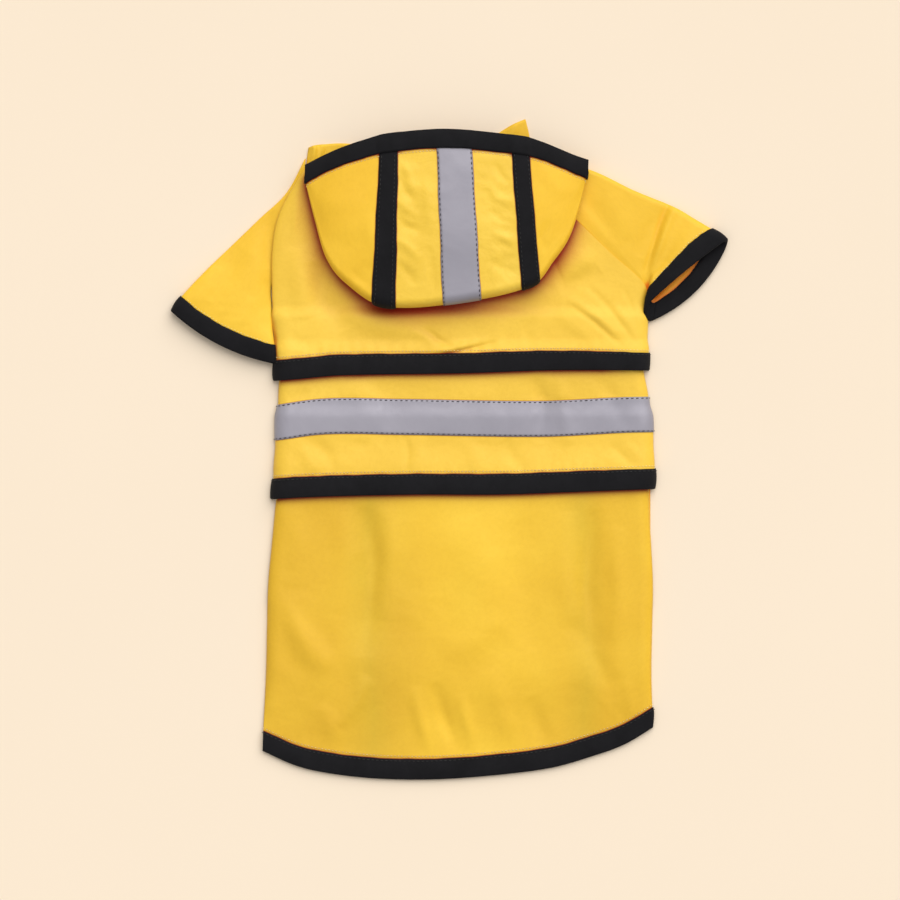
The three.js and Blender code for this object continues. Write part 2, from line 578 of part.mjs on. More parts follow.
// `along` runs from 0 at the opening over the crown (CROWN to CROWN_END) to 1 at the neck.
const CROWN = 0.48;
const CROWN_END = 0.60;
const PEAK = 0.65;           // where the upper layer is highest, from the opening to the crown
function hoodMiddle(at, along) {
  const v = Object.fromEntries(Object.entries(hoodCurves).map(([c, f]) => [c, f(at)]));
  const crownZ = mix(HOOD_FLOOR, v.top, 0.9);
  const radius = (crownZ - HOOD_FLOOR) / 2;
  const down = new THREE.Vector2(v.fx - v.rx, v.fy - v.ry);
  const inset = Math.min(0.45, (radius * 0.9) / down.length());
  const turnX = v.fx - down.x * inset;
  const turnY = v.fy - down.y * inset;
  if (along <= CROWN) {
    const k = along / CROWN;
    const climb = mix(v.rz, v.top, Math.sin(Math.PI / 2 * clamp01(k / PEAK)));
    const z = mix(climb, crownZ, smooth(PEAK, 1, k));
    return new THREE.Vector3(mix(v.rx, turnX, k), mix(v.ry, turnY, k), z);
  }
  if (along < CROWN_END) {
    const angle = ((along - CROWN) / (CROWN_END - CROWN)) * Math.PI;
    const k = Math.sin(angle);
    const z = HOOD_FLOOR + radius * (1 + Math.cos(angle));
    return new THREE.Vector3(mix(turnX, v.fx, k), mix(turnY, v.fy, k), z);
  }
  const k = (along - CROWN_END) / (1 - CROWN_END);
  return new THREE.Vector3(mix(turnX, v.nx, k), mix(turnY, v.ny, k), HOOD_FLOOR);
}
function hoodPoint(at, along, offset = 0) {
  const step = 2e-3;
  const [a, b] = [Math.max(0, at - step), Math.min(1, at + step)];
  const [c, d] = [Math.max(0, along - step), Math.min(1, along + step)];
  const wide = hoodMiddle(b, along).sub(hoodMiddle(a, along));
  const deep = hoodMiddle(at, c).sub(hoodMiddle(at, d));
  const normal = wide.cross(deep).normalize();
  return { p: hoodMiddle(at, along).addScaledVector(normal, offset), normal };
}
const hoodSteps = [0, 0.1, 0.2, 0.3, 0.4, 0.48, 0.504, 0.528, 0.552, 0.576, 0.6, 0.73, 0.86, 1];
const hoodWall = (places) => clothWall(places.length, hoodSteps.length,
  (i, j) => hoodPoint(places[i], hoodSteps[j]));
const BAND_LEFT = 0.38;
const BAND_RIGHT = 0.66;
const HALF_SEAM = 0.0007;
const panelSteps = [
  between(0, BAND_LEFT - HALF_SEAM, 5),
  between(BAND_LEFT + HALF_SEAM, BAND_RIGHT - HALF_SEAM, 5),
  between(BAND_RIGHT + HALF_SEAM, 1, 5),
];
['hood_side_left', 'hood_centre', 'hood_side_right'].forEach((name, i) => {
  add(name, 'shell', hoodWall(panelSteps[i]));
});
const RIM_SEAM = 0.01;       // the bands and the tape start just inside the rim
const stripSteps = [RIM_SEAM, ...hoodSteps.slice(1)];
const strip = (centre, half) => clothWall(3, stripSteps.length,
  (i, j) => hoodPoint(centre + half * (i - 1), stripSteps[j], PLY));
add('hood_band_left', 'binding', strip(BAND_LEFT, 0.019));
add('hood_band_right', 'binding', strip(BAND_RIGHT, 0.021));
add('hood_tape', 'tape', strip(0.523, 0.039));

function rimBinding() {
  const inside = HALF + GAP;
  const outside = inside + WALL;
  const edge = GAP + WALL;
  const LEG = 9.5;
  const section = [
    [-LEG, inside + PLY], [-LEG / 2, inside + PLY], [GAP, inside + PLY],
    [GAP, -inside], [-LEG / 2, -inside], [-LEG, -inside],
    [-LEG, -outside], [-LEG / 2, -outside], [edge - HALF, -outside],
    [edge, -inside], [edge, inside + PLY], [edge - HALF, outside + PLY],
    [-LEG / 2, outside + PLY], [-LEG, outside + PLY],
  ];
  const rings = panelSteps.flat().map((at) => {
    const end = hoodPoint(at, 0);
    const length = hoodMiddle(at, 0).distanceTo(hoodMiddle(at, CROWN)) / CROWN;
    const outward = end.p.clone().sub(hoodPoint(at, 1 / length).p).normalize();
    return section.map(([reach, lift]) => {
      const from = reach < 0 ? hoodPoint(at, Math.min(CROWN, -reach / length)) : end;
      const p = from.p.clone().addScaledVector(from.normal, lift);
      return reach < 0 ? p : p.addScaledVector(outward, reach);
    });
  });
  return sweptSolid(rings, false);
}
add('hood_rim_binding', 'binding', rimBinding());

export default group;
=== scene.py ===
# %% [markdown]
# # A dog's raincoat, laid flat
# The coat is coated yellow cloth in three tiers (a yoke, a second tier and a skirt) over a belly
# and chest of two halves, with two raglan sleeves and a hood that is folded back on the yoke.
# Black folded tape binds every edge, and grey reflective tape runs across the back and down the
# hood. This lesson makes the looks of each piece round a model that already has the right sizes.

# %% Load the fixed frame
import math

import bmesh
import bpy
import numpy as np
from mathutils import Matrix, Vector


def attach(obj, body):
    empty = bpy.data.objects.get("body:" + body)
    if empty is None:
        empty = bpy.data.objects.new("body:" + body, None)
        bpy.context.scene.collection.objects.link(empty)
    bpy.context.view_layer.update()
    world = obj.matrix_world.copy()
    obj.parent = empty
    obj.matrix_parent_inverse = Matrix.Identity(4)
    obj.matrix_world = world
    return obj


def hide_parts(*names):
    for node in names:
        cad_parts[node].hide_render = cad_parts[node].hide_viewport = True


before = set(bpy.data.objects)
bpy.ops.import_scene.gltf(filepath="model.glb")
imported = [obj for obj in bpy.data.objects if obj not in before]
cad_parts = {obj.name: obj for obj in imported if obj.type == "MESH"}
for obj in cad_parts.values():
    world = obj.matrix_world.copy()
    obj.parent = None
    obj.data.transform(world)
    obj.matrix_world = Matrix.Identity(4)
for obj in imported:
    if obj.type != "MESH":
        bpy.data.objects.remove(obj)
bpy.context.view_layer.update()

MM = 0.001
print("nodes in the frame:", len(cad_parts))

# %% [markdown]
# ## Tables and curves
# Every outline is a short table with named columns. A smooth curve through a column gives the
# value anywhere between the rows. Blender's own curve objects could do this too, but a function
# takes whole arrays of numbers at once, which keeps the fine grids of cloth quick to work out.

# %% Tables, curves and blends
def table(columns, *rows):
    """Columns by name, from rows of numbers."""
    return dict(zip(columns.split(), np.array(rows, float).T))


def curve(rows, key, out):
    """A smooth curve through a table: `key` is the input column, `out` the value."""
    order = np.argsort(rows[key])
    x, y = rows[key][order], rows[out][order]
    last = len(x) - 1
    before = np.maximum(np.arange(last + 1) - 1, 0)
    after = np.minimum(np.arange(last + 1) + 1, last)
    slope = (y[after] - y[before]) / (x[after] - x[before])

    def value(q):
        q = np.asarray(q, float)
        i = np.clip(np.searchsorted(x, q, side="right") - 1, 0, last - 1)
        span = x[i + 1] - x[i]
        k = np.clip((q - x[i]) / span, 0, 1)
        rise = (2 * k**3 - 3 * k**2 + 1) * y[i] + (3 * k**2 - 2 * k**3) * y[i + 1]
        return rise + span * ((k**3 - 2 * k**2 + k) * slope[i] + (k**3 - k**2) * slope[i + 1])

    return value


def mix(a, b, k):
    return a + (b - a) * k


def smooth(low, high, q):
    k = np.clip((np.asarray(q, float) - low) / (high - low), 0, 1)
    return k * k * (3 - 2 * k)


def unit(v):
    return v / np.maximum(np.linalg.norm(v, axis=-1, keepdims=True), 1e-12)


def stack(x, y, z):
    return np.stack(np.broadcast_arrays(x, y, z), axis=-1).astype(float)


# %% [markdown]
# ## The outline of the body
# A coat like this is cut from flat cloth along drawn outlines, so outlines come first. The frame's
# own are repeated here in millimetres: the folded sides, the lower edge of each tier and the top
# edge of the tape. `ARMPIT` is where the right side turns into the raglan seam. Moving the frame's
# solid walls about would give the same edges, but too few points for soft cloth.

# %% Sizes and outlines
PLY = 1.3                 # step from one layer of the frame to the next
BACK_HEIGHT, YOKE_HEIGHT, HEM_HEIGHT = 5.1, 5.4, 1.8
FOLD_REACH = 7.0          # width of the rounded fold along each side of the body
ARMPIT = 91.0
SLEEVE_LIFT = 2.0         # how far the left side fold stands over the flattened sleeve
BELLY_SIDE, BELLY_CENTRE = -82.0, -133.0
MIDDLE_TOP, SKIRT_TOP = 66.0, 12.0
TAPE_WIDTH = 19.5
CLOTH = 0.45              # thickness of the coated cloth that is seen
TAPE = 0.7                # thickness of the folded edge tape
REFLECTIVE = 0.35         # thickness of the reflective tape

BODY_SIDES = table(
    "y left right",
    (-170, -103.4, 111.6), (-153, -102.6, 111.5), (-122, -101.2, 110.8), (-99, -100.7, 111.2),
    (-74, -100.0, 111.6), (-52, -98.0, 110.6), (-34, -96.3, 109.6), (-18, -94.6, 109.6),
    (5, -94.8, 110.6), (30, -94.4, 109.0), (46, -93.8, 106.2), (58, -95.0, 107.2),
    (80, -97.6, 107.8), (91, -98.0, 107.0), (108, -98.0, 88.8), (126, -95.2, 70.2),
    (142, -87.8, 53.2), (158, -77.0, 37.0),
)
NECK_EDGE = table("x y", (-110, 159), (-77, 157.6), (-34, 153.4), (3, 152.2), (39, 154.6), (120, 156))
YOKE_HEM = table("x y", (-110, 37.6), (-83, 40), (-60, 42), (6, 43.1), (59, 44.8), (115, 44.6))
MIDDLE_HEM = table(
    "x y", (-110, -27.6), (-83, -25.2), (-24, -23.6), (28, -23.5), (77, -21.8), (115, -20.4)
)
TAPE_TOP = table("x y", (-100, 24), (-69, 28.2), (-24, 27.9), (50, 26.9), (95, 29), (114, 29.4))
SKIRT_HEM = table(
    "x y", (-106, -163.4), (-85, -172.8), (-67, -177), (-40, -180), (-7, -180.4), (30, -177.6),
    (57, -173.8), (78, -167.8), (96, -161.2), (114, -150.4),
)
side_left = curve(BODY_SIDES, "y", "left")
side_right = curve(BODY_SIDES, "y", "right")
print("width of the skirt at its hem:", round(float(side_right(-160) - side_left(-160)), 1), "mm")

# %% [markdown]
# ## Creases
# Cloth that was unpacked and laid down keeps soft folds. A crease is a bent line from
# (x0, y0) through (xm, ym) to (x1, y1), with a half width and a height, negative for a trough.
# It fades at both ends. The broad ones are the frame's own folds, and the finer ones are
# as uneven in length, depth and spacing as real ones. Cloth simulation would also give folds, but
# not these ones in these places, so they are listed one by one.

# %% Crease tables of the back
CREASE = "x0 y0 xm ym x1 y1 half height"
CREASE_GAIN = 1.25        # all creases at once, higher or lower
BROAD_FOLDS = table(
    "x0 y0 x1 y1 half depth",
    (-42, -34, -44, -108, 12, -1.3), (76, -40, 84, -126, 11, -1.3), (-96, -84, -62, -124, 11, 1.1),
    (16, -36, 22, -150, 20, 0.9), (52, 34, 56, -18, 11, -0.9), (70, 84, 96, 56, 11, 0.8),
)
YOKE_CREASES = table(
    CREASE,
    (-15, 50.8, 2, 53.8, 27, 59.4, 1.3, -0.85),
    (-12, 53.6, 4, 56.6, 26, 62.4, 2.2, 0.55),
    (-14, 67, -7, 61, 4, 55, 1.8, -0.60),
    (-22, 66, -14, 62, -6, 57, 2.4, 0.45),
    (66, 80, 80, 70, 95, 56.5, 1.7, -0.60),
    (64, 84, 80, 74, 97, 60, 2.6, 0.55),
    (58, 76, 72, 66, 84, 54, 4.2, 0.40),
    (86, 79, 98, 64.5, 105, 55, 1.5, -0.55),
    (90, 81, 100, 68, 106, 58, 2.0, 0.50),
    (95, 90, 101, 77, 105, 68, 1.5, -0.50),
    (74, 92, 86, 80, 94, 70, 2.0, -0.35),
    (46, 74, 42, 66, 44, 54, 3.0, -0.40),
    (30, 72, 26, 64, 28, 54, 3.6, 0.35),
    (84, 112, 74, 104, 60, 98, 8.0, 1.00),
    (82, 100, 72, 94, 60, 88, 5.0, -0.70),
    (-88, 112, -84, 92, -80, 72, 9.0, 1.50),
    (-74, 104, -70, 84, -58, 66, 6.5, -1.30),
    (-58, 78, -40, 68, -14, 64, 6.0, 0.80),
    (-92, 66, -84, 59, -70, 54, 3.6, -0.60),
    (-93, 150, -91, 136, -92, 120, 1.8, -0.60),
    (-88, 148, -85, 134, -87, 116, 2.4, 0.70),
    (-50, 66, -30, 58, -8, 48, 9.0, -0.60),
)
MIDDLE_CREASES = table(
    CREASE,
    (-24, 8, -23, -2, -25, -15, 1.6, -0.50),
    (-18, 8, -17, -3, -20, -15, 3.0, 0.40),
    (46, 42, 51, 26, 50, 4, 4.0, -1.00),
    (60, 42, 62, 24, 66, 2, 4.2, 0.85),
    (84, 40, 92, 22, 103, 8, 5.0, -0.80),
    (97, 4, 103, -2, 110, -6, 2.2, 0.70),
    (88, 3, 98, -6, 108, -11, 2.4, -0.65),
    (-94, 34, -86, 27, -78, 34, 3.0, -0.80),
    (-90, 6, -80, -2, -74, -13, 4.0, 0.75),
    (-78, 8, -68, -2, -62, -14, 4.0, -0.65),
    (6, 7, 14, -3, 18, -14, 5.0, 0.55),
    (30, 6, 34, -4, 44, -13, 4.0, -0.60),
    (-52, 40, -48, 22, -50, 4, 7.0, 0.80),
    (-36, 38, -32, 18, -38, 2, 6.0, -0.50),
    (14, 40, 20, 18, 16, 4, 8.0, 0.50),
)
SKIRT_CREASES = table(
    CREASE,
    (-48, -26, -42, -64, -47, -114, 5.5, -1.20),
    (-36, -28, -33, -56, -38, -94, 6.0, 0.90),
    (-60, -30, -56, -56, -62, -90, 7.0, 0.80),
    (79, -32, 75, -74, 79, -110, 5.0, -1.30),
    (68, -92, 79, -113, 92, -138, 4.6, -0.65),
    (65, -34, 63, -62, 66, -98, 6.5, 0.85),
    (91, -42, 93, -80, 90, -126, 6.0, 1.00),
    (-106, -66, -90, -92, -68, -122, 6.5, 0.95),
    (-84, -84, -70, -104, -54, -134, 7.5, -0.75),
    (-46, -124, -51, -138, -61, -152, 4.2, 1.00),
    (-98, -104, -86, -118, -64, -126, 6.0, -0.45),
    (-20, -130, -16, -149, -9, -176, 3.6, 1.00),
    (-9, -128, -3, -148, 7, -176, 4.0, -1.15),
    (5, -134, 10, -153, 15, -176, 3.4, 0.85),
    (22, -120, 30, -146, 36, -172, 6.0, 0.75),
    (44, -136, 49, -152, 52, -168, 4.6, -0.70),
    (34, -104, 18, -118, 2, -126, 9.0, -0.50),
    (30, -92, 14, -104, -6, -112, 7.0, 0.60),
    (-72, -140, -65, -152, -62, -170, 5.0, 0.75),
    (96, -126, 100, -138, 101, -154, 3.6, 0.70),
    (-92, -30, -86, -50, -88, -76, 8.0, 0.90),
    (10, -36, 18, -66, 16, -100, 13.0, 0.90),
    (44, -34, 40, -70, 46, -112, 9.0, -0.70),
)


def along_line(x, y, x0, y0, x1, y1):
    """Place along a line, not clipped, and the distance from it."""
    dx, dy = x1 - x0, y1 - y0
    place = ((x - x0) * dx + (y - y0) * dy) / (dx * dx + dy * dy)
    k = np.clip(place, 0, 1)
    return place, np.hypot(x - x0 - k * dx, y - y0 - k * dy)


def broad_relief(x, y):
    """The frame's own broad folds."""
    total = 0.0
    for row in zip(*BROAD_FOLDS.values()):
        place, off = along_line(x, y, *row[:4])
        taper = smooth(-0.15, 0.25, place) * (1 - smooth(0.75, 1.15, place))
        total = total + row[5] * taper * np.exp(-((off / row[4]) ** 2))
    return total


def crease_relief(x, y, creases):
    """Height of the listed creases at each point."""
    total = np.zeros(np.broadcast(x, y).shape)
    for x0, y0, xm, ym, x1, y1, half, height in zip(*creases.values()):
        first, near = along_line(x, y, x0, y0, xm, ym)
        second, far = along_line(x, y, xm, ym, x1, y1)
        place = np.where(near < far, np.clip(first, 0, 1), 1 + np.clip(second, 0, 1)) / 2
        fade = np.sin(np.pi * place) ** 0.7
        total += CREASE_GAIN * height * fade * np.exp(-((np.minimum(near, far) / half) ** 2))
    return total


def puckers(along, away, height, reach, pitch=6.5):
    """Small uneven ripples beside a line of stitches."""
    wave = np.sin(along * 2 * np.pi / pitch + 1.7 * np.sin(along / 11.0))
    slow = 0.55 + 0.45 * np.sin(along / 17.0 + 2.0 * np.sin(along / 31.0))
    return height * slow * wave * np.exp(-((away / reach) ** 2))


print("creases on the back:", sum(len(c["x0"]) for c in (YOKE_CREASES, MIDDLE_CREASES, SKIRT_CREASES)))

# %% [markdown]
# ## The form of the back
# The back is one rounded form: nearly level in the middle, with a soft fold down to the floor
# along each side. Each tier could be sculpted by itself, but then thin layers soon cut through one
# another. Here all three tiers, their tapes and their bindings take their points from one
# form, moved out along its normal, so each lies clear of the one below.

# %% Height and normal of the back
def back_height(y):
    upper = mix(BACK_HEIGHT, YOKE_HEIGHT, smooth(45, 95, y))
    return mix(HEM_HEIGHT, upper, smooth(-166, -112, y))


def fold_foot(y, near_left):
    on_front = mix(0.35, PLY, smooth(BELLY_SIDE - 8, BELLY_SIDE, y))
    on_sleeve = np.where(near_left, SLEEVE_LIFT * smooth(67, 77, y), 0)
    return mix(HEM_HEIGHT, on_front + on_sleeve, smooth(-158, -126, y))


def back_form(x, y, fine=0.0):
    """A point of the back's surface and its normal, in mm. `fine` is added to the height."""
    left, right = side_left(y), side_right(y)
    near_left = x - left < right - x
    reach = np.maximum(0, np.minimum(x - left, right - x))
    folded = np.where(near_left, 1, 1 - smooth(ARMPIT - 9, ARMPIT + 3, y))
    rise = (back_height(y) - fold_foot(y, near_left)) * folded
    flat = np.minimum(1, reach / FOLD_REACH)
    relief = (broad_relief(x, y) + fine) * smooth(0, 3 * FOLD_REACH, reach) * smooth(-172, -150, y)
    ditch = 0.05 * (1 - folded) * np.exp(-((reach / 1.3) ** 2))
    z = back_height(y) - rise * (1 - np.sqrt(1 - (1 - flat) ** 2)) + relief - ditch
    turn = np.arccos(1 - flat)
    rolled = unit(stack(
        np.where(near_left, -1, 1) * rise * np.cos(turn), 0, FOLD_REACH * np.sin(turn) + 1e-6
    ))
    strength = np.clip(rise / 3, 0, 1)[..., None]
    normal = unit(mix(np.array([0, 0, 1.0]), rolled, strength))
    slope = (back_height(y + 1) - back_height(y - 1)) / 2
    normal[..., 1] = -slope * normal[..., 2]
    return stack(x, y, z), unit(normal)


FOLD_SHARE = 0.07         # share of the way across that each side fold takes


def across(u, left, right):
    """x at a share of the way across, with the side folds in even steps of their turn."""
    turned = FOLD_REACH * (1 - np.cos(np.clip(np.minimum(u, 1 - u) / FOLD_SHARE, 0, 1) * np.pi / 2))
    k = (u - FOLD_SHARE) / (1 - 2 * FOLD_SHARE)
    level = mix(left + FOLD_REACH, right - FOLD_REACH, k)
    return np.where(u < FOLD_SHARE, left + turned, np.where(u > 1 - FOLD_SHARE, right - turned, level))


SETTLING_ROUNDS = 6       # x and y of a point depend on each other, so they are found in rounds


def tier(top, bottom, offset, fine):
    """A piece of the back between two edges: `at(u, t)` runs across and then down."""
    def at(u, t):
        u, t = np.broadcast_arrays(np.asarray(u, float), np.asarray(t, float))
        x, y = np.zeros(u.shape), np.zeros(u.shape)
        for _ in range(SETTLING_ROUNDS):
            y = mix(top(x), bottom(x), t)
            x = across(u, side_left(y), side_right(y))
        p, normal = back_form(x, y, fine(x, y))
        return p + normal * offset(y)[..., None], normal

    return at


def lapped(low, step, high):
    """Where a tier laps over the next one it lies a layer higher, and two at its lower edge."""
    return lambda y: PLY * (1 - smooth(step + 6, step + 14, y)) + PLY * (1 - smooth(low, high, y))


p, n = back_form(np.array([0.0]), np.array([60.0]))
print("height of the yoke over the belly:", round(float(p[0, 2]), 2), "mm")

# %% [markdown]
# ## From a grid of points to cloth
# A piece of cloth is a grid of points that gets a real thickness from Solidify, which closes the
# edges too. A single surface would look right from above only. The UV map is the distance along
# the cloth in metres, so a weave keeps its true size and follows each fold. Faces are turned so
# that they point outwards.

# %% Grids and sheets
def grid_object(name, points, outward, thickness, welded=False):
    """A cloth wall from a grid of middle points in mm; `outward` is its rough outer side."""
    rows, columns = points.shape[:2]
    i, j = np.meshgrid(np.arange(rows - 1), np.arange(columns - 1), indexing="ij")
    corner = (i * columns + j).ravel()
    faces = np.stack([corner, corner + columns, corner + columns + 1, corner + 1], axis=1)
    a, b, d = points[:-1, :-1], points[1:, :-1], points[:-1, 1:]
    if (np.cross(b - a, d - a) * outward[:-1, :-1]).sum() < 0:
        faces = faces[:, ::-1]
    mesh = bpy.data.meshes.new(name)
    mesh.from_pydata((points.reshape(-1, 3) * MM).tolist(), [], faces.tolist())
    steps_u = np.linalg.norm(np.diff(points, axis=0), axis=-1).mean(axis=1)
    steps_v = np.linalg.norm(np.diff(points, axis=1), axis=-1).mean(axis=0)
    u = np.concatenate([[0], np.cumsum(steps_u)]) * MM
    v = np.concatenate([[0], np.cumsum(steps_v)]) * MM
    uv = np.stack(np.meshgrid(u, v, indexing="ij"), axis=-1).reshape(-1, 2)
    layer = mesh.uv_layers.new(name="cloth")
    order = np.empty(len(mesh.loops), np.int32)
    mesh.loops.foreach_get("vertex_index", order)
    layer.data.foreach_set("uv", uv[order].astype(np.float32).ravel())
    if welded:
        weld(mesh)
    mesh.shade_smooth()
    piece = bpy.data.objects.new(name, mesh)
    bpy.context.scene.collection.objects.link(piece)
    wall = piece.modifiers.new("cloth wall", "SOLIDIFY")
    wall.thickness = thickness * MM
    wall.offset = 0.0
    wall.use_even_offset = True
    wall.use_quality_normals = True
    return piece


def weld(mesh):
    """Joins the two sides of a tube's seam."""
    work = bmesh.new()
    work.from_mesh(mesh)
    bmesh.ops.remove_doubles(work, verts=work.verts, dist=1e-6)
    work.to_mesh(mesh)
    work.free()


PIECES = {}               # by name: (object, slot, (flat width, flat length), held, flat area)


def keep(piece, slot, flat, held, share=1.0):
    """Notes the finish and the flat cut of a piece; `share` is how much of the rectangle it fills."""
    PIECES[piece.name] = (piece, slot, flat, held, flat[0] * flat[1] * share)
    return piece


def cloth_area(piece):
    """Area of one side of a piece's grid, in square metres."""
    return sum(f.area for f in piece.data.polygons)


def print_area(piece):
    print(piece.name, "area", round(cloth_area(piece) * 1e4, 1), "cm2")


# %% [markdown]
# ## Yoke, second tier and skirt
# The three tiers are shingled as on a roof, so that rain runs off. Each one is sewn on under the
# edge of the one above, and its creases fade out there, where it is covered. One cloth with two
# false edges would be less work, but each real tier is cut by itself, and its lower edge is free:
# only separate grids show the small shade and step under that edge.

# %% The three tiers
def yoke_fine(x, y):
    hem = y - curve_yoke_hem(x)
    seam = puckers(x, hem - 11.5, 0.16, 5.0) + puckers(y, side_right(y) - x, 0.2, 5.0, 8.0)
    return crease_relief(x, y, YOKE_CREASES) * smooth(2, 12, hem) + seam * smooth(4, 10, hem)


def middle_fine(x, y):
    hem = y - curve_middle_hem(x)
    above, below = y - curve_tape_top(x), curve_tape_top(x) - TAPE_WIDTH - y
    on_tape = np.minimum(1, smooth(-1, 3, above) + smooth(-1, 3, below))
    seams = puckers(x, above, 0.13, 4.0, 7.3) + puckers(x + 40, below, 0.15, 4.5, 6.1)
    seams += puckers(x + 90, hem - 11.5, 0.15, 4.0, 5.7)
    shown = smooth(2, 12, hem) * (1 - smooth(36, 48, y))
    return (crease_relief(x, y, MIDDLE_CREASES) * mix(0.55, 1, on_tape) + seams * on_tape) * shown


def skirt_fine(x, y):
    hem = y - curve_skirt_hem(x)
    shown = smooth(0, 14, hem) * (1 - smooth(-36, -26, y))
    seam = puckers(x + 20, hem - 11, 0.18, 5.0, 7.7)
    return (crease_relief(x, y, SKIRT_CREASES) + seam) * shown


curve_yoke_hem = curve(YOKE_HEM, "x", "y")
curve_middle_hem = curve(MIDDLE_HEM, "x", "y")
curve_tape_top = curve(TAPE_TOP, "x", "y")
curve_skirt_hem = curve(SKIRT_HEM, "x", "y")
level = lambda value: (lambda q: np.full(np.shape(q), float(value)))

yoke_at = tier(curve(NECK_EDGE, "x", "y"), curve_yoke_hem, lapped(54, MIDDLE_TOP, 62), yoke_fine)
middle_offset = lapped(-11, SKIRT_TOP, 4)
middle_at = tier(level(MIDDLE_TOP), curve_middle_hem, middle_offset, middle_fine)
skirt_at = tier(level(SKIRT_TOP), curve_skirt_hem, level(0), skirt_fine)


def tier_object(name, at, width_steps, drop_steps):
    u, t = np.meshgrid(np.linspace(0, 1, width_steps), np.linspace(0, 1, drop_steps), indexing="ij")
    points, normals = at(u, t)
    return grid_object(name, points, normals, CLOTH)


yoke = keep(tier_object("yoke_cloth", yoke_at, 236, 136), "shell", (0.225, 0.117), "laid", 0.86)
middle = keep(tier_object("middle_tier_cloth", middle_at, 176, 84), "shell", (0.222, 0.090), "laid", 0.99)
skirt = keep(tier_object("skirt_cloth", skirt_at, 186, 150), "shell", (0.222, 0.192), "laid", 0.97)
for piece in (yoke, middle, skirt):
    print_area(piece)

# %% [markdown]
# ## The folded edge tape
# Every raw edge of the coat is closed in a folded tape: one leg on top, a soft turn round the
# edge and one leg underneath, stitched through. A bevelled curve could stand for it, but would not
# lie on the cloth. Here the tape is a strip with a small cross section that is carried along the
# edge. `inward` gives the cloth at a distance inside the edge, so the tape follows every crease
# of the piece that it binds.

# %% Binding along an edge
UPPER_POINTS = 12         # points of the section that lie on the upper side: the leg and half the turn
INNER_PART = 6.0          # past this distance from the edge the tape's inner edge sways a little
TURN_REACH = 0.65         # how far in mm the turn stands out past the cloth's edge


def tape_section(width, under, base, swell):
    """Cross section of a folded tape: reach past the edge and lift off the cloth, in mm."""
    top = np.linspace(0, 1, 9)
    turn = np.linspace(0, np.pi, 9)[1:-1]
    radius = base + 0.25
    over = np.stack([-width * (1 - top), base + swell * np.sin(np.pi * top) ** 0.8 + 0.25 * top], axis=1)
    edge = np.stack([TURN_REACH * np.sin(turn), radius * np.cos(turn)], axis=1)
    back = np.stack([-under * top[::2], -radius * np.ones(5)], axis=1)
    return np.concatenate([over, edge, back])


def binding_points(inward, stations, section, extra=None):
    """A strip of tape along an edge; `extra` lifts its upper leg where it passes over a layer."""
    end, normal = inward(stations, 0.0)
    before, _ = inward(stations, 1.0)
    outward = unit(end - before)
    columns = []
    for j, (reach, lift) in enumerate(section):
        sway = 0.10 * np.sin(stations * 61 + j * 0.15) + 0.05 * np.sin(stations * 143)
        along_edge = reach + (sway if reach < -INNER_PART else 0)
        p, n = inward(stations, np.maximum(0, -along_edge))
        raised = lift + (extra(stations) if extra is not None and j < UPPER_POINTS else 0)
        reach_out = np.maximum(0, along_edge)
        columns.append(p + n * np.reshape(raised, (-1, 1)) + outward * np.reshape(reach_out, (-1, 1)))
    return np.stack(columns, axis=1)


def binding_object(name, inward, stations, section, **how):
    points = binding_points(inward, stations, section, how.get("extra"))
    _, normal = inward(stations, 0.0)
    outer = np.where(np.arange(len(section))[:, None] < UPPER_POINTS, 1.0, -1.0) * normal[:, None, :]
    return grid_object(name, points, outer, TAPE, how.get("welded", False))


def tier_inward(at):
    def inward(u, distance):
        length = np.linalg.norm(at(u, 1.0)[0] - at(u, 0.0)[0], axis=-1)
        return at(u, 1 - distance / length)

    return inward


HEM_TAPE = tape_section(10.3, 8.0, 0.55, 0.55)
stations = np.linspace(0, 1, 170)
for name, at, length in (
    ("yoke_edge_tape", yoke_at, 0.218),
    ("middle_tier_edge_tape", middle_at, 0.220),
    ("skirt_edge_tape", skirt_at, 0.222),
):
    piece = binding_object(name, tier_inward(at), stations, HEM_TAPE)
    keep(piece, "binding", (0.0205, length), "folded")
    print_area(piece)

# %% [markdown]
# ## Reflective tape across the second tier
# The tape is a flat strip, sewn down along both edges, so it lies close on the cloth and bends
# with its folds. Shrinkwrap could press a plain strip on the tier. The tier is a function,
# though, so the strip takes the tier's own points and moves them out by a little.

# %% Reflective tape
tape_at = tier(
    curve_tape_top, lambda x: curve_tape_top(x) - TAPE_WIDTH, middle_offset, middle_fine
)


def strip_lift(t):
    """A tape's edges are drawn down by their stitches and its middle stands a little proud."""
    return 0.42 + 0.16 * np.sin(np.pi * np.clip(t, 0, 1)) ** 0.5


u, t = np.meshgrid(np.linspace(0, 1, 190), np.linspace(0, 1, 14), indexing="ij")
points, normals = tape_at(u, t)
points = points + normals * strip_lift(t)[..., None]
tape = grid_object("middle_tier_reflective_tape", points, normals, REFLECTIVE)
keep(tape, "reflective", (0.222, TAPE_WIDTH * MM), "laid")
print("reflective tape is", round(cloth_area(tape) / TAPE_WIDTH / MM, 3), "m long")

# %% [markdown]
# ## Raglan sleeves
# Each sleeve is a short tube that was pressed flat. Its sections run from the raglan seam to the
# cuff, and each section goes round the tube from the underarm seam and back: the fold by the body,
# the upper layer, the fold along the top, the lower layer. The left sleeve lies under the
# body's side fold, and the right one stands open at its cuff. A flattened cylinder would need a
# lattice to take these outlines, while a table of sections states them.

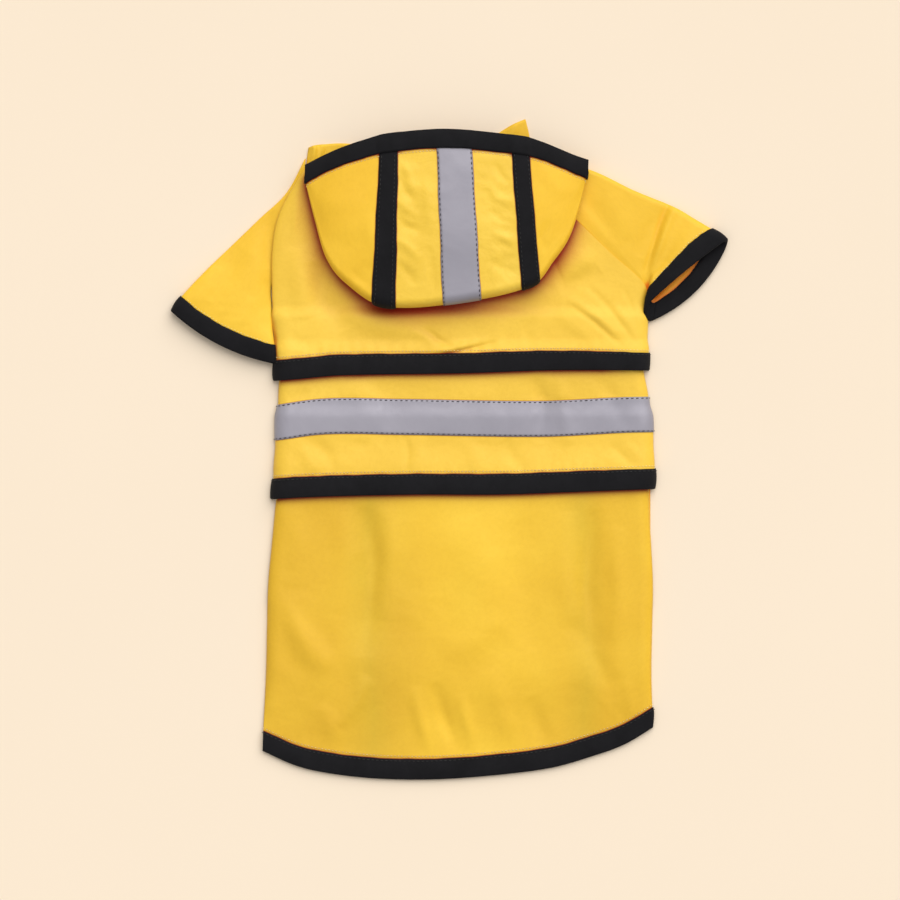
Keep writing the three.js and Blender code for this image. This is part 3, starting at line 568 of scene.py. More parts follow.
# %% Sections of the sleeves
SECTION = "ux uy lx ly bow floor fold puff"
LEFT_SLEEVE = table(
    SECTION,
    (-79.6, 160.5, -93.6, 103, -3.4, 0.5, 1.3, 0), (-90, 141.5, -96.4, 97, -3, 0.5, 1.3, 0),
    (-105, 127, -98.8, 89, -1, 0.5, 1.4, 0.8), (-120.5, 112, -98.3, 79, 0, 0.5, 2.2, 2.6),
    (-134, 99, -97.9, 67, 0, 0.8, 3.2, 1.8), (-146.6, 85.6, -96.9, 58.6, 0, 1.75, 3.9, 0.3),
    (-152.6, 76.8, -96.6, 48.4, 4.4, 1.75, 3.5, 0.2),
)
RIGHT_SLEEVE_TOP = table(
    SECTION,
    (42, 157.6, 107, 93.2, 0, 0.5, 4.9, 0), (74, 155, 107.4, 94.2, 0, 0.5, 4.9, 0),
    (101.5, 142.6, 108, 94.8, 0, 0.5, 4.6, 0.3), (123, 133.8, 109, 95.4, 0, 0.6, 4.3, 0.6),
    (134.6, 126.8, 109.6, 94.6, 0, 1, 4.7, 0.3), (145.2, 120.6, 109.2, 91.6, -0.8, 1.95, 5.2, 0.6),
    (151.6, 116.4, 107.4, 79.8, -1.2, 1.95, 5.2, 1),
)
RIGHT_SLEEVE_UNDER = table(
    "ux uy lx ly bow",
    (47.4, 157.6, 104.4, 80.6, 0), (74, 155, 106.6, 81.2, 0), (101.5, 142.6, 108.6, 81.4, 0),
    (123, 133.8, 109.8, 81.6, 1), (134.6, 127.4, 110.0, 81.0, 3), (145.2, 120.6, 109.4, 79.8, 5),
    (152.3, 114.6, 107.8, 70.6, 6.6),
)
SLEEVE_CREASES = table(
    CREASE,
    (127.5, 142, 118.6, 121.8, 109.0, 92, 2.6, 0.95),
    (123.0, 143, 115.2, 122.6, 106.0, 93, 1.9, -1.15),
    (138, 130, 129, 118, 120, 103, 5.0, 0.45),
    (118, 139, 111, 122, 104, 106, 4.5, -0.70),
    (138, 126, 130, 114, 122, 102, 4.0, 0.45),
    (84, 150, 90, 134, 100, 116, 6.0, 0.45),
    (66, 146, 78, 130, 92, 114, 5.0, -0.35),
    (-104, 124, -108, 108, -102, 92, 5.0, 0.55),
    (-116, 112, -122, 96, -132, 82, 6.0, -0.50),
    (-128, 102, -134, 90, -142, 80, 4.5, 0.45),
    (-98, 132, -100, 116, -100, 100, 2.6, -0.50),
    (-108, 84, -114, 74, -122, 66, 4.0, 0.40),
)
FOLD_TURN = 0.12          # share of the way round that each folded edge takes
SLEEVE_LENGTH = 66.0


def columns_along(rows):
    """Each column as a smooth curve along the sleeve, from 0 to 1."""
    marked = dict(rows, at=np.linspace(0, 1, len(rows["ux"])))
    curves = {name: curve(marked, "at", name) for name in rows}
    return lambda along: {name: value(along) for name, value in curves.items()}


def section_point(row, k, side):
    """A point between the two folds of a section, `k` from 0 at the body to 1 at the top."""
    wide, deep = row["ux"] - row["lx"], row["uy"] - row["ly"]
    length = np.hypot(wide, deep)
    bow = row["bow"] * 4 * k * (1 - k) * side
    x = mix(row["lx"], row["ux"], k) + deep / length * bow
    y = mix(row["ly"], row["uy"], k) - wide / length * bow
    return x, y


def sleeve(top_rows, under_rows, side):
    """`at(along, around)` on the tube's middle surface, with its outward normal."""
    top_along, under_along = columns_along(top_rows), columns_along(under_rows)
    half = 0.5 - FOLD_TURN

    def middle(along, around):
        top, under = top_along(along), under_along(along)
        chord = np.hypot(top["ux"] - top["lx"], top["uy"] - top["ly"])
        inset = np.minimum(0.2, (top["fold"] / 2 + 0.8) / chord)
        near = np.clip(around / FOLD_TURN, 0, 1) * np.pi
        far = np.clip((around - 0.5) / FOLD_TURN, 0, 1) * np.pi
        upper = np.clip((around - FOLD_TURN) / half, 0, 1)
        lower = np.clip((around - 0.5 - FOLD_TURN) / half, 0, 1)
        k = np.select(
            [around < FOLD_TURN, around <= 0.5, around < 0.5 + FOLD_TURN],
            [mix(inset, 0, np.sin(near)), mix(inset, 1 - inset, upper), mix(1 - inset, 1, np.sin(far))],
            mix(1 - inset, inset, lower),
        )
        lift = np.select(
            [around < FOLD_TURN, around <= 0.5, around < 0.5 + FOLD_TURN],
            [(1 - np.cos(near)) / 2, 1.0, (1 + np.cos(far)) / 2], 0.0,
        )
        (hx, hy), (lx, ly) = section_point(top, k, side), section_point(under, k, side)
        puff = np.where((around >= FOLD_TURN) & (around <= 0.5), np.sin(np.pi * upper), 0)
        x, y = mix(lx, hx, lift), mix(ly, hy, lift)
        fine = crease_relief(x, y, SLEEVE_CREASES) * smooth(0.35, 0.95, lift) * smooth(0.02, 0.12, along)
        shown = smooth(0.0, 0.12, along) * (1 - smooth(0.8, 0.92, along))
        to_cuff_seam = SLEEVE_LENGTH * (1 - along) - 12
        ripple = puckers(y, to_cuff_seam, 0.15, 5.0, 6.3) * np.where(lift > 0.5, puff, 0) * shown
        return stack(x, y, top["floor"] + top["fold"] * lift + top["puff"] * puff + fine + ripple)

    def at(along, around):
        along, around = np.broadcast_arrays(np.asarray(along, float), np.asarray(around, float))
        step = 1e-3
        a, b = np.maximum(0, around - step), np.minimum(1, around + step)
        c, d = np.maximum(0, along - step), np.minimum(1, along + step)
        normal = unit(np.cross(middle(along, b) - middle(along, a), middle(d, around) - middle(c, around)))
        return middle(along, around), -side * normal

    return at


sleeve_at = {
    "left": sleeve(LEFT_SLEEVE, LEFT_SLEEVE, -1),
    "right": sleeve(RIGHT_SLEEVE_TOP, RIGHT_SLEEVE_UNDER, 1),
}
p, n = sleeve_at["right"](np.array([0.5]), np.array([0.3]))
print("upper layer of the right sleeve:", [round(float(q), 1) for q in p[0]], "mm, facing", n.round(2)[0])

# %% [markdown]
# On the right the upper layer's first millimetres are drawn down and in under the yoke's edge, as
# a seam draws them, which makes the small ditch of a raglan seam. Bump alone could darken a line
# there, but not turn the cloth. The tape at each cuff is a closed ring, welded at the underarm seam.

# %% The two sleeves and their cuffs
CUFF_TAPE = tape_section(9.3, 9.0, 0.6, 0.45)
AROUND = np.unique(np.concatenate([
    np.linspace(0, FOLD_TURN, 10), np.linspace(FOLD_TURN, 0.5, 100),
    np.linspace(0.5, 0.5 + FOLD_TURN, 10), np.linspace(0.5 + FOLD_TURN, 1, 34),
]))


TUCK = np.array([-1.9, -1.9, -0.5])     # mm in x, y and z at the seam
TUCK_REACH = 1.6          # mm from the seam at which the tuck has mostly faded


def raglan_tuck(points, along, around):
    """Draws the right sleeve's upper layer down and towards the body at the raglan seam."""
    upper = np.where((around > FOLD_TURN * 0.8) & (around < 0.5 + FOLD_TURN * 0.2), 1.0, 0.0)
    near = np.exp(-((along * SLEEVE_LENGTH / TUCK_REACH) ** 2)) * upper
    return points + near[..., None] * TUCK


END_SHARE = 0.16          # the part of the sleeve by which distances from the cuff are measured


def cuff_inward(at):
    """The tube's wall at a distance in mm from its cuff."""
    def inward(around, distance):
        measured = at(1.0, around)[0] - at(1 - END_SHARE, around)[0]
        length = np.linalg.norm(measured, axis=-1) / END_SHARE
        return at(1 - distance / np.maximum(length, 30), around)

    return inward


for side, flat, cuff_round in (("left", (0.120, 0.074), 0.120), ("right", (0.168, 0.068), 0.105)):
    along, around = np.meshgrid(np.linspace(0, 1, 110) ** 1.05, AROUND, indexing="ij")
    points, normals = sleeve_at[side](along, around)
    if side == "right":
        points = raglan_tuck(points, along, around)
    piece = grid_object(f"sleeve_{side}_cloth", points, normals, CLOTH, welded=True)
    keep(piece, "shell", flat, "folded", 0.73)
    print_area(piece)
    inward = cuff_inward(sleeve_at[side])
    piece = binding_object(f"cuff_{side}_edge_tape", inward, AROUND, CUFF_TAPE, welded=True)
    keep(piece, "binding", (0.022, cuff_round), "folded")
    print_area(piece)

# %% [markdown]
# ## Belly and chest
# The two halves of the belly meet at the middle, and the left one laps over the right. They lie
# flat on the surface, and only their neck corners peek out past the hood. They could be left out
# from above, but a coat has to be whole from every side, so they are plain grids between a middle
# line and an outer edge, and their outer edge follows the sleeve's first section.

# %% Outlines of the two fronts
LEFT_FRONT = table(
    "y outer", (-140, -99.0), (-82, -98.6), (0, -94.0), (40, -93.0), (80, -92.8), (168.5, -77.6)
)
RIGHT_FRONT = table(
    "y outer", (-140, 110.0), (-82, 110.2), (0, 109.8), (60, 104.6), (174, 43.6), (182.2, 41.6)
)
LEFT_NECK = table("x y", (-79, 166.4), (-72, 168.2), (-54, 168.4), (-30, 160), (10, 152))
RIGHT_NECK = table("x y", (-12, 152), (10, 160), (26, 174), (34, 179), (41, 182.2))
OVERLAP, CENTRE, LAP_RAMP, RAGLAN_GAP = 18.0, 4.0, 5.0, 0.8
COLLAR_CREASES = table(
    CREASE,
    (-77, 173, -74.5, 166, -76, 154, 1.7, 2.6), (-71, 173, -70.5, 166, -74, 154, 1.4, 1.3),
    (38, 184, 35, 176, 30, 166, 2.4, 1.0), (-60, 170, -54, 166, -50, 160, 2.6, 0.7),
)


def with_raglan(sides, rows, side):
    """A front's outer edge, with the raglan seam along the sleeve's first section."""
    first = {name: values[0] for name, values in rows.items()}
    k = np.linspace(0, 1, 6)
    x, y = section_point(first, k, side)
    return {
        "y": np.concatenate([sides["y"], y]),
        "outer": np.concatenate([sides["outer"], x - side * RAGLAN_GAP]),
    }


def front_half(sides, neck, centre_x, lap):
    outer, top = curve(sides, "y", "outer"), curve(neck, "x", "y")
    fine = lambda x, y: crease_relief(x, y, COLLAR_CREASES)
    reach = outer(BELLY_SIDE) - centre_x

    def at(to_edge, t):
        x, y = np.full(np.shape(to_edge), centre_x), np.zeros(np.shape(to_edge))
        for _ in range(12):
            bottom = mix(BELLY_CENTRE, BELLY_SIDE, np.clip((x - centre_x) / reach, 0, 1) ** 3)
            y = mix(bottom, top(x), t)
            x = mix(centre_x, outer(y), to_edge)
        return stack(x, y, 0.5 + lap(x) + 0.12 * (1 - np.cos(x / 9.0 + y / 23.0)) / 2 + fine(x, y))

    return at


# %% The two fronts
right_edge, left_edge = CENTRE - OVERLAP / 2, CENTRE + OVERLAP / 2
lap_over = lambda x: PLY * smooth(right_edge - LAP_RAMP, right_edge - 1, x)
fronts = {
    "left": front_half(with_raglan(LEFT_FRONT, LEFT_SLEEVE, -1), LEFT_NECK, left_edge, lap_over),
    "right": front_half(with_raglan(RIGHT_FRONT, RIGHT_SLEEVE_UNDER, 1), RIGHT_NECK, right_edge, level(0)),
}
for side, at in fronts.items():
    to_edge, t = np.meshgrid(np.linspace(0, 1, 84), np.linspace(0, 1, 200), indexing="ij")
    points = at(to_edge, t)
    piece = grid_object(f"front_{side}_cloth", points, np.zeros_like(points) - [0, 0, 1], CLOTH)
    keep(piece, "shell", {"left": (0.112, 0.300), "right": (0.116, 0.315)}[side], "laid", 0.85)
    print_area(piece)

# %% [markdown]
# ## Hood
# The hood is cut from a centre strip and two sides. Laid back, its upper layer runs from the face
# opening down to the crown, turns over there in a round fold, and its lower layer returns to the
# neck seam. Blown-up and pressed cloth would find such a form by itself, but never just this
# one. So a row of the table is one section of it, from the left side to the right.

# %% Sections of the hood
HOOD = table(
    "at rx ry rz fx fy nx ny top",
    (0.00, -79.4, 155.6, 11.4, -79.0, 146.2, -77, 156.0, 11.8),
    (0.10, -70.4, 160.2, 12.6, -74.0, 126.0, -69, 156.0, 14.2),
    (0.20, -60.0, 164.8, 14.0, -67.6, 105.0, -58, 155.2, 17.0),
    (0.30, -47.0, 169.2, 15.0, -56.4, 91.0, -46, 154.4, 18.8),
    (0.38, -33.6, 172.6, 15.6, -36.6, 79.0, -34, 153.6, 19.8),
    (0.50, -2.0, 175.0, 16.2, 2.6, 80.6, 0, 152.6, 20.2),
    (0.66, 38.8, 171.2, 15.6, 45.0, 90.4, 38, 154.6, 19.6),
    (0.74, 50.0, 168.2, 15.0, 56.8, 103.8, 48, 155.2, 18.4),
    (0.82, 59.6, 164.4, 14.0, 65.0, 116.0, 57, 155.6, 16.6),
    (0.91, 68.4, 160.8, 12.6, 70.6, 132.0, 66, 156.0, 14.2),
    (1.00, 75.8, 158.4, 11.4, 74.6, 149.0, 73, 156.0, 11.8),
)
HOOD_CREASES = table(
    CREASE,
    (-27, 158, -23, 152, -20, 143, 2.0, 0.55),
    (-28, 150, -24, 141, -18, 134, 2.2, -0.55),
    (-29, 138, -24, 132, -17, 128, 1.8, 0.50),
    (-29, 128, -24, 122, -15, 120, 2.2, -0.45),
    (-30, 116, -24, 112, -16, 104, 2.2, 0.55),
    (-30, 104, -24, 98, -18, 90, 2.4, -0.50),
    (-14, 150, -12, 136, -11, 118, 3.0, 0.45),
    (-12, 112, -10, 100, -8, 86, 2.6, -0.40),
    (24, 158, 28, 150, 33, 146, 2.0, -0.50),
    (20, 146, 26, 138, 34, 136, 2.2, 0.50),
    (21, 132, 28, 126, 36, 124, 2.0, -0.45),
    (22, 120, 30, 116, 38, 110, 2.2, 0.50),
    (20, 104, 28, 100, 38, 98, 2.4, -0.45),
    (26, 112, 24, 100, 26, 86, 3.0, 0.40),
    (52, 108, 50, 116, 54, 126, 2.4, -0.50),
    (51, 100, 58, 106, 63, 118, 2.6, 0.50),
    (48, 156, 56, 148, 64, 138, 5.0, 0.45),
    (-72, 138, -62, 134, -48, 140, 7.0, 0.45),
    (-66, 116, -56, 112, -44, 116, 6.0, -0.40),
    (-44, 100, -42, 112, -44, 130, 4.0, 0.40),
    (-54, 98, -50, 92, -44, 86, 3.0, -0.45),
)
HOOD_FLOOR = 8.2          # height of the hood's lower layer
NECK_SINK = 1.6           # how far that layer goes down to the neck seam
CROWN, CROWN_END = 0.48, 0.60           # where the crown's turn begins and ends, along the hood
PEAK = 0.65               # share of the upper layer that climbs from the rim
HOOD_WIDTH = 250.0        # mm from side to side, along the cloth
BAND_LEFT, BAND_RIGHT, TAPE_PLACE = 0.38, 0.658, 0.5145         # places across, from 0 to 1
BAND_LEFT_HALF, BAND_RIGHT_HALF, TAPE_HALF = 0.0215, 0.0225, 0.0358       # half widths there
hood_curves = {name: curve(HOOD, "at", name) for name in HOOD if name != "at"}


def hood_fine(x, y, at):
    """Creases, and the puckers beside the black bands and the tape."""
    seams = 0.0
    for start, away, height, reach, pitch in (
        (0, at - BAND_LEFT - 0.045, 0.30, 5.0, 11.0), (30, BAND_RIGHT - 0.045 - at, 0.30, 5.0, 9.7),
        (11, at - 0.475, 0.10, 4.0, 9.0), (0, 0.571 - at, 0.10, 4.0, 8.0),
    ):
        seams = seams + puckers(y + start, away * HOOD_WIDTH, height, reach, pitch)
    return crease_relief(x, y, HOOD_CREASES) + seams


def hood_middle(at, along):
    v = {name: value(at) for name, value in hood_curves.items()}
    crown_z = mix(HOOD_FLOOR, v["top"], 0.9)
    radius = (crown_z - HOOD_FLOOR) / 2
    down_x, down_y = v["fx"] - v["rx"], v["fy"] - v["ry"]
    inset = np.minimum(0.45, radius * 0.9 / np.hypot(down_x, down_y))
    turn_x, turn_y = v["fx"] - down_x * inset, v["fy"] - down_y * inset
    k = np.clip(along / CROWN, 0, 1)
    climb = mix(v["rz"], v["top"], np.sin(np.pi / 2 * np.clip(k / PEAK, 0, 1)))
    upper_x, upper_y = mix(v["rx"], turn_x, k), mix(v["ry"], turn_y, k)
    upper_z = mix(climb, crown_z, smooth(PEAK, 1, k))
    upper_z = upper_z + hood_fine(upper_x, upper_y, at) * smooth(0.0, 0.14, k) * (1 - smooth(0.93, 1, k))
    angle = np.clip((along - CROWN) / (CROWN_END - CROWN), 0, 1) * np.pi
    bend = np.sin(angle)
    back = np.clip((along - CROWN_END) / (1 - CROWN_END), 0, 1)
    sink = NECK_SINK * smooth(0.45, 1.0, back)
    crown_height = HOOD_FLOOR + radius * (1 + np.cos(angle))
    parts = [along <= CROWN, along < CROWN_END]
    return stack(
        np.select(parts, [upper_x, mix(turn_x, v["fx"], bend)], mix(turn_x, v["nx"], back)),
        np.select(parts, [upper_y, mix(turn_y, v["fy"], bend)], mix(turn_y, v["ny"], back)),
        np.select(parts, [upper_z, crown_height], HOOD_FLOOR - sink),
    )


def hood_at(at, along, lift=0.0):
    """A point of the hood's wall, moved out by `lift`, and its outward normal."""
    at, along = np.broadcast_arrays(np.asarray(at, float), np.asarray(along, float))
    step = 2e-3
    a, b = np.maximum(0, at - step), np.minimum(1, at + step)
    c, d = np.maximum(0, along - step), np.minimum(1, along + step)
    over = hood_middle(b, along) - hood_middle(a, along)
    normal = unit(np.cross(over, hood_middle(at, c) - hood_middle(at, d)))
    return hood_middle(at, along) + normal * np.reshape(lift, np.shape(lift) + (1,)), normal


print("crown of the hood stands", round(float(HOOD["top"].max()), 1), "mm above the surface")

# %% [markdown]
# The three panels share one form and meet under the bands. Rows lie closer together at the crown,
# where the cloth turns, so that the fold is round.

# %% The three panels of the hood
ALONG = np.unique(np.concatenate([
    np.linspace(0, CROWN, 84), np.linspace(CROWN, CROWN_END, 22), np.linspace(CROWN_END, 1, 56),
]))
SEAM = 0.0006             # half the gap between two panels, as a share of the width
for name, low, high, steps, flat in (
    ("hood_side_left_cloth", 0, BAND_LEFT - SEAM, 48, (0.059, 0.156)),
    ("hood_centre_cloth", BAND_LEFT + SEAM, BAND_RIGHT - SEAM, 76, (0.077, 0.178)),
    ("hood_side_right_cloth", BAND_RIGHT + SEAM, 1, 40, (0.045, 0.144)),
):
    places, along = np.meshgrid(np.linspace(low, high, steps), ALONG, indexing="ij")
    points, normals = hood_at(places, along)
    piece = grid_object(name, points, normals, CLOTH)
    keep(piece, "shell", flat, "folded", 0.66 if "side" in name else 0.98)
    print_area(piece)

# %% [markdown]
# Bands and tape are sewn on top of the panels. A black band is a folded tape, so it is thicker in
# its middle; the reflective tape is a thin flat strip. Both start just under the rim's tape. They
# could be painted on the panels, but their edges catch light, so they are cloth of their own.

# %% Bands and tape on the hood
def hood_strip(name, place, half, lift, swell, thickness, columns=13):
    """A strip of tape over the hood, from the rim to the neck; `lift` is at its edges."""
    places, along = np.meshgrid(np.linspace(place - half, place + half, columns), ALONG[2:], indexing="ij")
    k = (places - place) / half
    sway = 0.0006 * np.sin(along * 31 + place * 9) + 0.0002 * np.sin(along * 97)
    raised = lift + swell * np.sqrt(np.maximum(0, 1 - k**4))
    points, normals = hood_at(places + sway, along, raised)
    return grid_object(name, points, normals, thickness)


for name, place, half, lift, swell, thickness, slot, flat in (
    ("hood_band_left_tape", BAND_LEFT, BAND_LEFT_HALF, 0.42, 0.55, 0.6, "binding", (0.0105, 0.188)),
    ("hood_band_right_tape", BAND_RIGHT, BAND_RIGHT_HALF, 0.42, 0.55, 0.6, "binding", (0.0100, 0.172)),
    ("hood_reflective_tape", TAPE_PLACE, TAPE_HALF, 0.40, 0.16, REFLECTIVE, "reflective", (0.0205, 0.180)),
):
    piece = keep(hood_strip(name, place, half, lift, swell, thickness), slot, flat, "folded")
    print_area(piece)

# %% [markdown]
# The rim's tape goes round the whole face opening. It rides up a little where it crosses the ends
# of the bands and the tape, as a real binding does over a thicker place. It is the same strip as
# at the hems, with that one lift added.

# %% Tape round the face opening
RIM_TAPE = tape_section(9.6, 8.6, 0.6, 0.6)


def over_the_bands(at):
    """How much the rim's tape is raised by what lies under it."""
    near = lambda place, half: 1 - smooth(half, half + 0.012, np.abs(at - place))
    bands = near(BAND_LEFT, BAND_LEFT_HALF) + near(BAND_RIGHT, BAND_RIGHT_HALF)
    return 0.85 * bands + 0.45 * near(TAPE_PLACE, TAPE_HALF)


def rim_inward(at, distance):
    length = np.linalg.norm(hood_middle(at, 0 * at) - hood_middle(at, 0 * at + CROWN), axis=-1) / CROWN
    return hood_at(at, distance / length)


rim = binding_object("hood_rim_edge_tape", rim_inward, stations, RIM_TAPE, extra=over_the_bands)
keep(rim, "binding", (0.020, 0.170), "folded")
print_area(rim)

# %% [markdown]
# ## Stitches
# Thread shows as short dashes beside every tape. A picture of dashes would blur close up, and an
# Array would not follow the folds. Stitches repeat along a path, so a Geometry Nodes tree makes
# them: it turns each seam line into a curve, sets a point at every stitch, puts a small bead of
# thread there along the seam, and varies its size a little. The tree ends in real mesh with its
# material, and the result is kept as one plain mesh for each colour of thread.

# %% The stitching tree
def stitch_tree():
    tree = bpy.data.node_groups.new("stitches along a seam", "GeometryNodeTree")
    for name, kind, value in (
        ("Seam lines", "NodeSocketGeometry", None), ("Stitch pitch", "NodeSocketFloat", 2.6 * MM),
        ("Stitch length", "NodeSocketFloat", 1.7 * MM), ("Thread width", "NodeSocketFloat", 0.42 * MM),
        ("Unevenness", "NodeSocketFloat", 0.12), ("Seed", "NodeSocketInt", 7),
        ("Thread", "NodeSocketMaterial", None),
    ):
        socket = tree.interface.new_socket(name, in_out="INPUT", socket_type=kind)
        if value is not None:
            socket.default_value = value
    tree.interface.new_socket("Stitches", in_out="OUTPUT", socket_type="NodeSocketGeometry")
    new, link = tree.nodes.new, tree.links.new
    given, result = new("NodeGroupInput"), new("NodeGroupOutput")
    to_curve = new("GeometryNodeMeshToCurve")
    resample = new("GeometryNodeResampleCurve")
    resample.mode = "LENGTH"
    bead = new("GeometryNodeMeshUVSphere")
    bead.inputs["Segments"].default_value = 7
    bead.inputs["Rings"].default_value = 5
    bead.inputs["Radius"].default_value = 0.5
    size = new("ShaderNodeCombineXYZ")
    shape = new("GeometryNodeTransform")
    tangent = new("GeometryNodeInputTangent")
    turn = new("FunctionNodeAlignRotationToVector")
    turn.axis = "X"
    uneven = new("FunctionNodeRandomValue")
    uneven.data_type = "FLOAT"
    low, high = new("ShaderNodeMath"), new("ShaderNodeMath")
    low.operation, high.operation = "SUBTRACT", "ADD"
    low.inputs[0].default_value = high.inputs[0].default_value = 1.0
    place = new("GeometryNodeInstanceOnPoints")
    real = new("GeometryNodeRealizeInstances")
    smooth_faces = new("GeometryNodeSetShadeSmooth")
    finish = new("GeometryNodeSetMaterial")
    link(given.outputs["Seam lines"], to_curve.inputs["Mesh"])
    link(to_curve.outputs["Curve"], resample.inputs["Curve"])
    link(given.outputs["Stitch pitch"], resample.inputs["Length"])
    link(given.outputs["Stitch length"], size.inputs["X"])
    link(given.outputs["Thread width"], size.inputs["Y"])
    link(given.outputs["Thread width"], size.inputs["Z"])
    link(bead.outputs["Mesh"], shape.inputs["Geometry"])
    link(size.outputs["Vector"], shape.inputs["Scale"])
    link(given.outputs["Unevenness"], low.inputs[1])
    link(given.outputs["Unevenness"], high.inputs[1])
    sockets = {s.name: s for s in uneven.inputs if s.enabled}
    link(low.outputs[0], sockets["Min"])
    link(high.outputs[0], sockets["Max"])
    link(given.outputs["Seed"], sockets["Seed"])
    link(tangent.outputs["Tangent"], turn.inputs["Vector"])
    link(resample.outputs["Curve"], place.inputs["Points"])
    link(shape.outputs["Geometry"], place.inputs["Instance"])
    link(turn.outputs["Rotation"], place.inputs["Rotation"])
    link(next(s for s in uneven.outputs if s.enabled), place.inputs["Scale"])
    link(place.outputs["Instances"], real.inputs["Geometry"])
    link(real.outputs["Geometry"], smooth_faces.inputs["Geometry"])
    link(smooth_faces.outputs["Geometry"], finish.inputs["Geometry"])
    link(given.outputs["Thread"], finish.inputs["Material"])
    link(finish.outputs["Geometry"], result.inputs["Stitches"])
    return tree


STITCHES = stitch_tree()
SOCKETS = {s.name: s.identifier for s in STITCHES.interface.items_tree if s.in_out == "INPUT"}
print("inputs of the stitching tree:", ", ".join(SOCKETS))

# %% [markdown]
# Each seam line is worked out from the same surface as the tape that it holds, a set distance
# inside that tape's edge, and lifted so that the thread lies half sunk. Drawing the lines by hand
# would leave some threads in the air.

# %% Sewing with one colour of thread
def sew(name, lines, thread, pitch, length, width, seed):
    """One mesh of stitches along lines of points in mm."""
    points, edges = [], []
    for line in lines:
        first = len(points)
        points += (np.asarray(line) * MM).tolist()
        edges += [(i, i + 1) for i in range(first, len(points) - 1)]
    mesh = bpy.data.meshes.new(name + " lines")
    mesh.from_pydata(points, edges, [])
    guide = bpy.data.objects.new(name + " lines", mesh)
    bpy.context.scene.collection.objects.link(guide)
    sewing = guide.modifiers.new("stitches", "NODES")
    sewing.node_group = STITCHES
    for socket, value in (
        ("Stitch pitch", pitch * MM), ("Stitch length", length * MM), ("Thread width", width * MM),
        ("Seed", seed), ("Thread", thread),
    ):
        sewing[SOCKETS[socket]] = value
    sewn = guide.evaluated_get(bpy.context.evaluated_depsgraph_get())
    plain = bpy.data.meshes.new_from_object(sewn)
    plain.name = name
    bpy.data.objects.remove(guide)
    piece = bpy.data.objects.new(name, plain)
    bpy.context.scene.collection.objects.link(piece)
    print(name, "has", len(plain.polygons), "faces on", len(lines), "seam lines")
    return piece


LINE = np.linspace(0.003, 0.997, 240)
HALF_SUNK = 0.12          # how far in mm the middle of a thread lies above the surface it holds


def lifted(points_and_normals, lift):
    points, normals = points_and_normals
    return points + normals * lift


def tape_line(share):
    return lifted(tape_at(LINE, share + 0 * LINE), float(strip_lift(share)) + REFLECTIVE / 2 + HALF_SUNK)


def beside_tape(at, inside, lift):
    """A line on the cloth or the tape, a distance in mm inside a tier's lower edge."""
    return lifted(tier_inward(at)(LINE, inside), lift)


def hood_line(place, lift):
    along = np.linspace(0.065, 0.985, 220)
    return lifted(hood_at(place + 0 * along, along), lift)


# %% [markdown]
# ## Finishes
# A small toolbox of shader helpers comes first, since each finish is the same few nodes in another
# order. All patterns run on the cloth's own map in metres or on the object's own coordinates, so
# they stay put when the coat is turned, and no picture is needed.

# %% Shader helpers
def new_material(name):
    material = bpy.data.materials.new(name)
    material.use_nodes = True
    tree = material.node_tree
    return material, tree, tree.nodes["Principled BSDF"]


def set_sockets(shader, values):
    """Numbers and colours that are the same all over go on the shader's own sockets."""
    for name, value in values.items():
        shader.inputs[name].default_value = value


def math_node(tree, operation, a, b=None):
    node = tree.nodes.new("ShaderNodeMath")
    node.operation = operation
    for socket, value in zip(node.inputs, (a, b)):
        if isinstance(value, (int, float)):
            socket.default_value = value
        elif value is not None:
            tree.links.new(value, socket)
    return node.outputs[0]


def noise_node(tree, vector, scale, detail=3.0, roughness=0.5, distortion=0.0):
    node = tree.nodes.new("ShaderNodeTexNoise")
    tree.links.new(vector, node.inputs["Vector"])
    for name, value in (
        ("Scale", scale), ("Detail", detail), ("Roughness", roughness), ("Distortion", distortion),
    ):
        node.inputs[name].default_value = value
    return node.outputs["Fac"]


def ramp_node(tree, factor, *stops):
    """A colour ramp with (place, colour) stops."""
    node = tree.nodes.new("ShaderNodeValToRGB")
    tree.links.new(factor, node.inputs["Fac"])
    points = node.color_ramp.elements
    while len(points) < len(stops):
        points.new(0.5)
    for point, (place, colour) in zip(points, stops):
        point.position, point.color = place, (*colour, 1.0)
    return node.outputs["Color"]


def range_node(tree, value, low, high, to_low, to_high):
    node = tree.nodes.new("ShaderNodeMapRange")
    tree.links.new(value, node.inputs["Value"])
    for name, number in (
        ("From Min", low), ("From Max", high), ("To Min", to_low), ("To Max", to_high),
    ):
        node.inputs[name].default_value = number
    return node.outputs["Result"]


def bump_node(tree, height, distance, strength, under=None):
    node = tree.nodes.new("ShaderNodeBump")
    tree.links.new(height, node.inputs["Height"])
    node.inputs["Distance"].default_value = distance
    node.inputs["Strength"].default_value = strength
    if under is not None:
        tree.links.new(under, node.inputs["Normal"])
    return node.outputs["Normal"]


def tint_node(tree, base, factor, colour, blend="MULTIPLY"):
    """Mixes a colour over another, by a factor."""
    node = tree.nodes.new("ShaderNodeMix")
    node.data_type, node.blend_type = "RGBA", blend
    tree.links.new(factor, node.inputs["Factor"])
    tree.links.new(base, node.inputs["A"])
    node.inputs["B"].default_value = (*colour, 1.0)
    return node.outputs["Result"]


def cloth_map(tree):
    """Distances along and across the cloth, and the object's own coordinates."""
    coordinates = tree.nodes.new("ShaderNodeTexCoord").outputs
    parts = split_node(tree, coordinates["UV"])
    return parts["X"], parts["Y"], coordinates["Object"], coordinates["UV"]


def facet_node(tree, vector, scale):
    """Soft flats with low ridges between them, as in cloth that was packed."""
    node = tree.nodes.new("ShaderNodeTexVoronoi")
    node.feature = "SMOOTH_F1"
    tree.links.new(vector, node.inputs["Vector"])
    node.inputs["Scale"].default_value = scale
    node.inputs["Smoothness"].default_value = 0.55
    return node.outputs["Distance"]


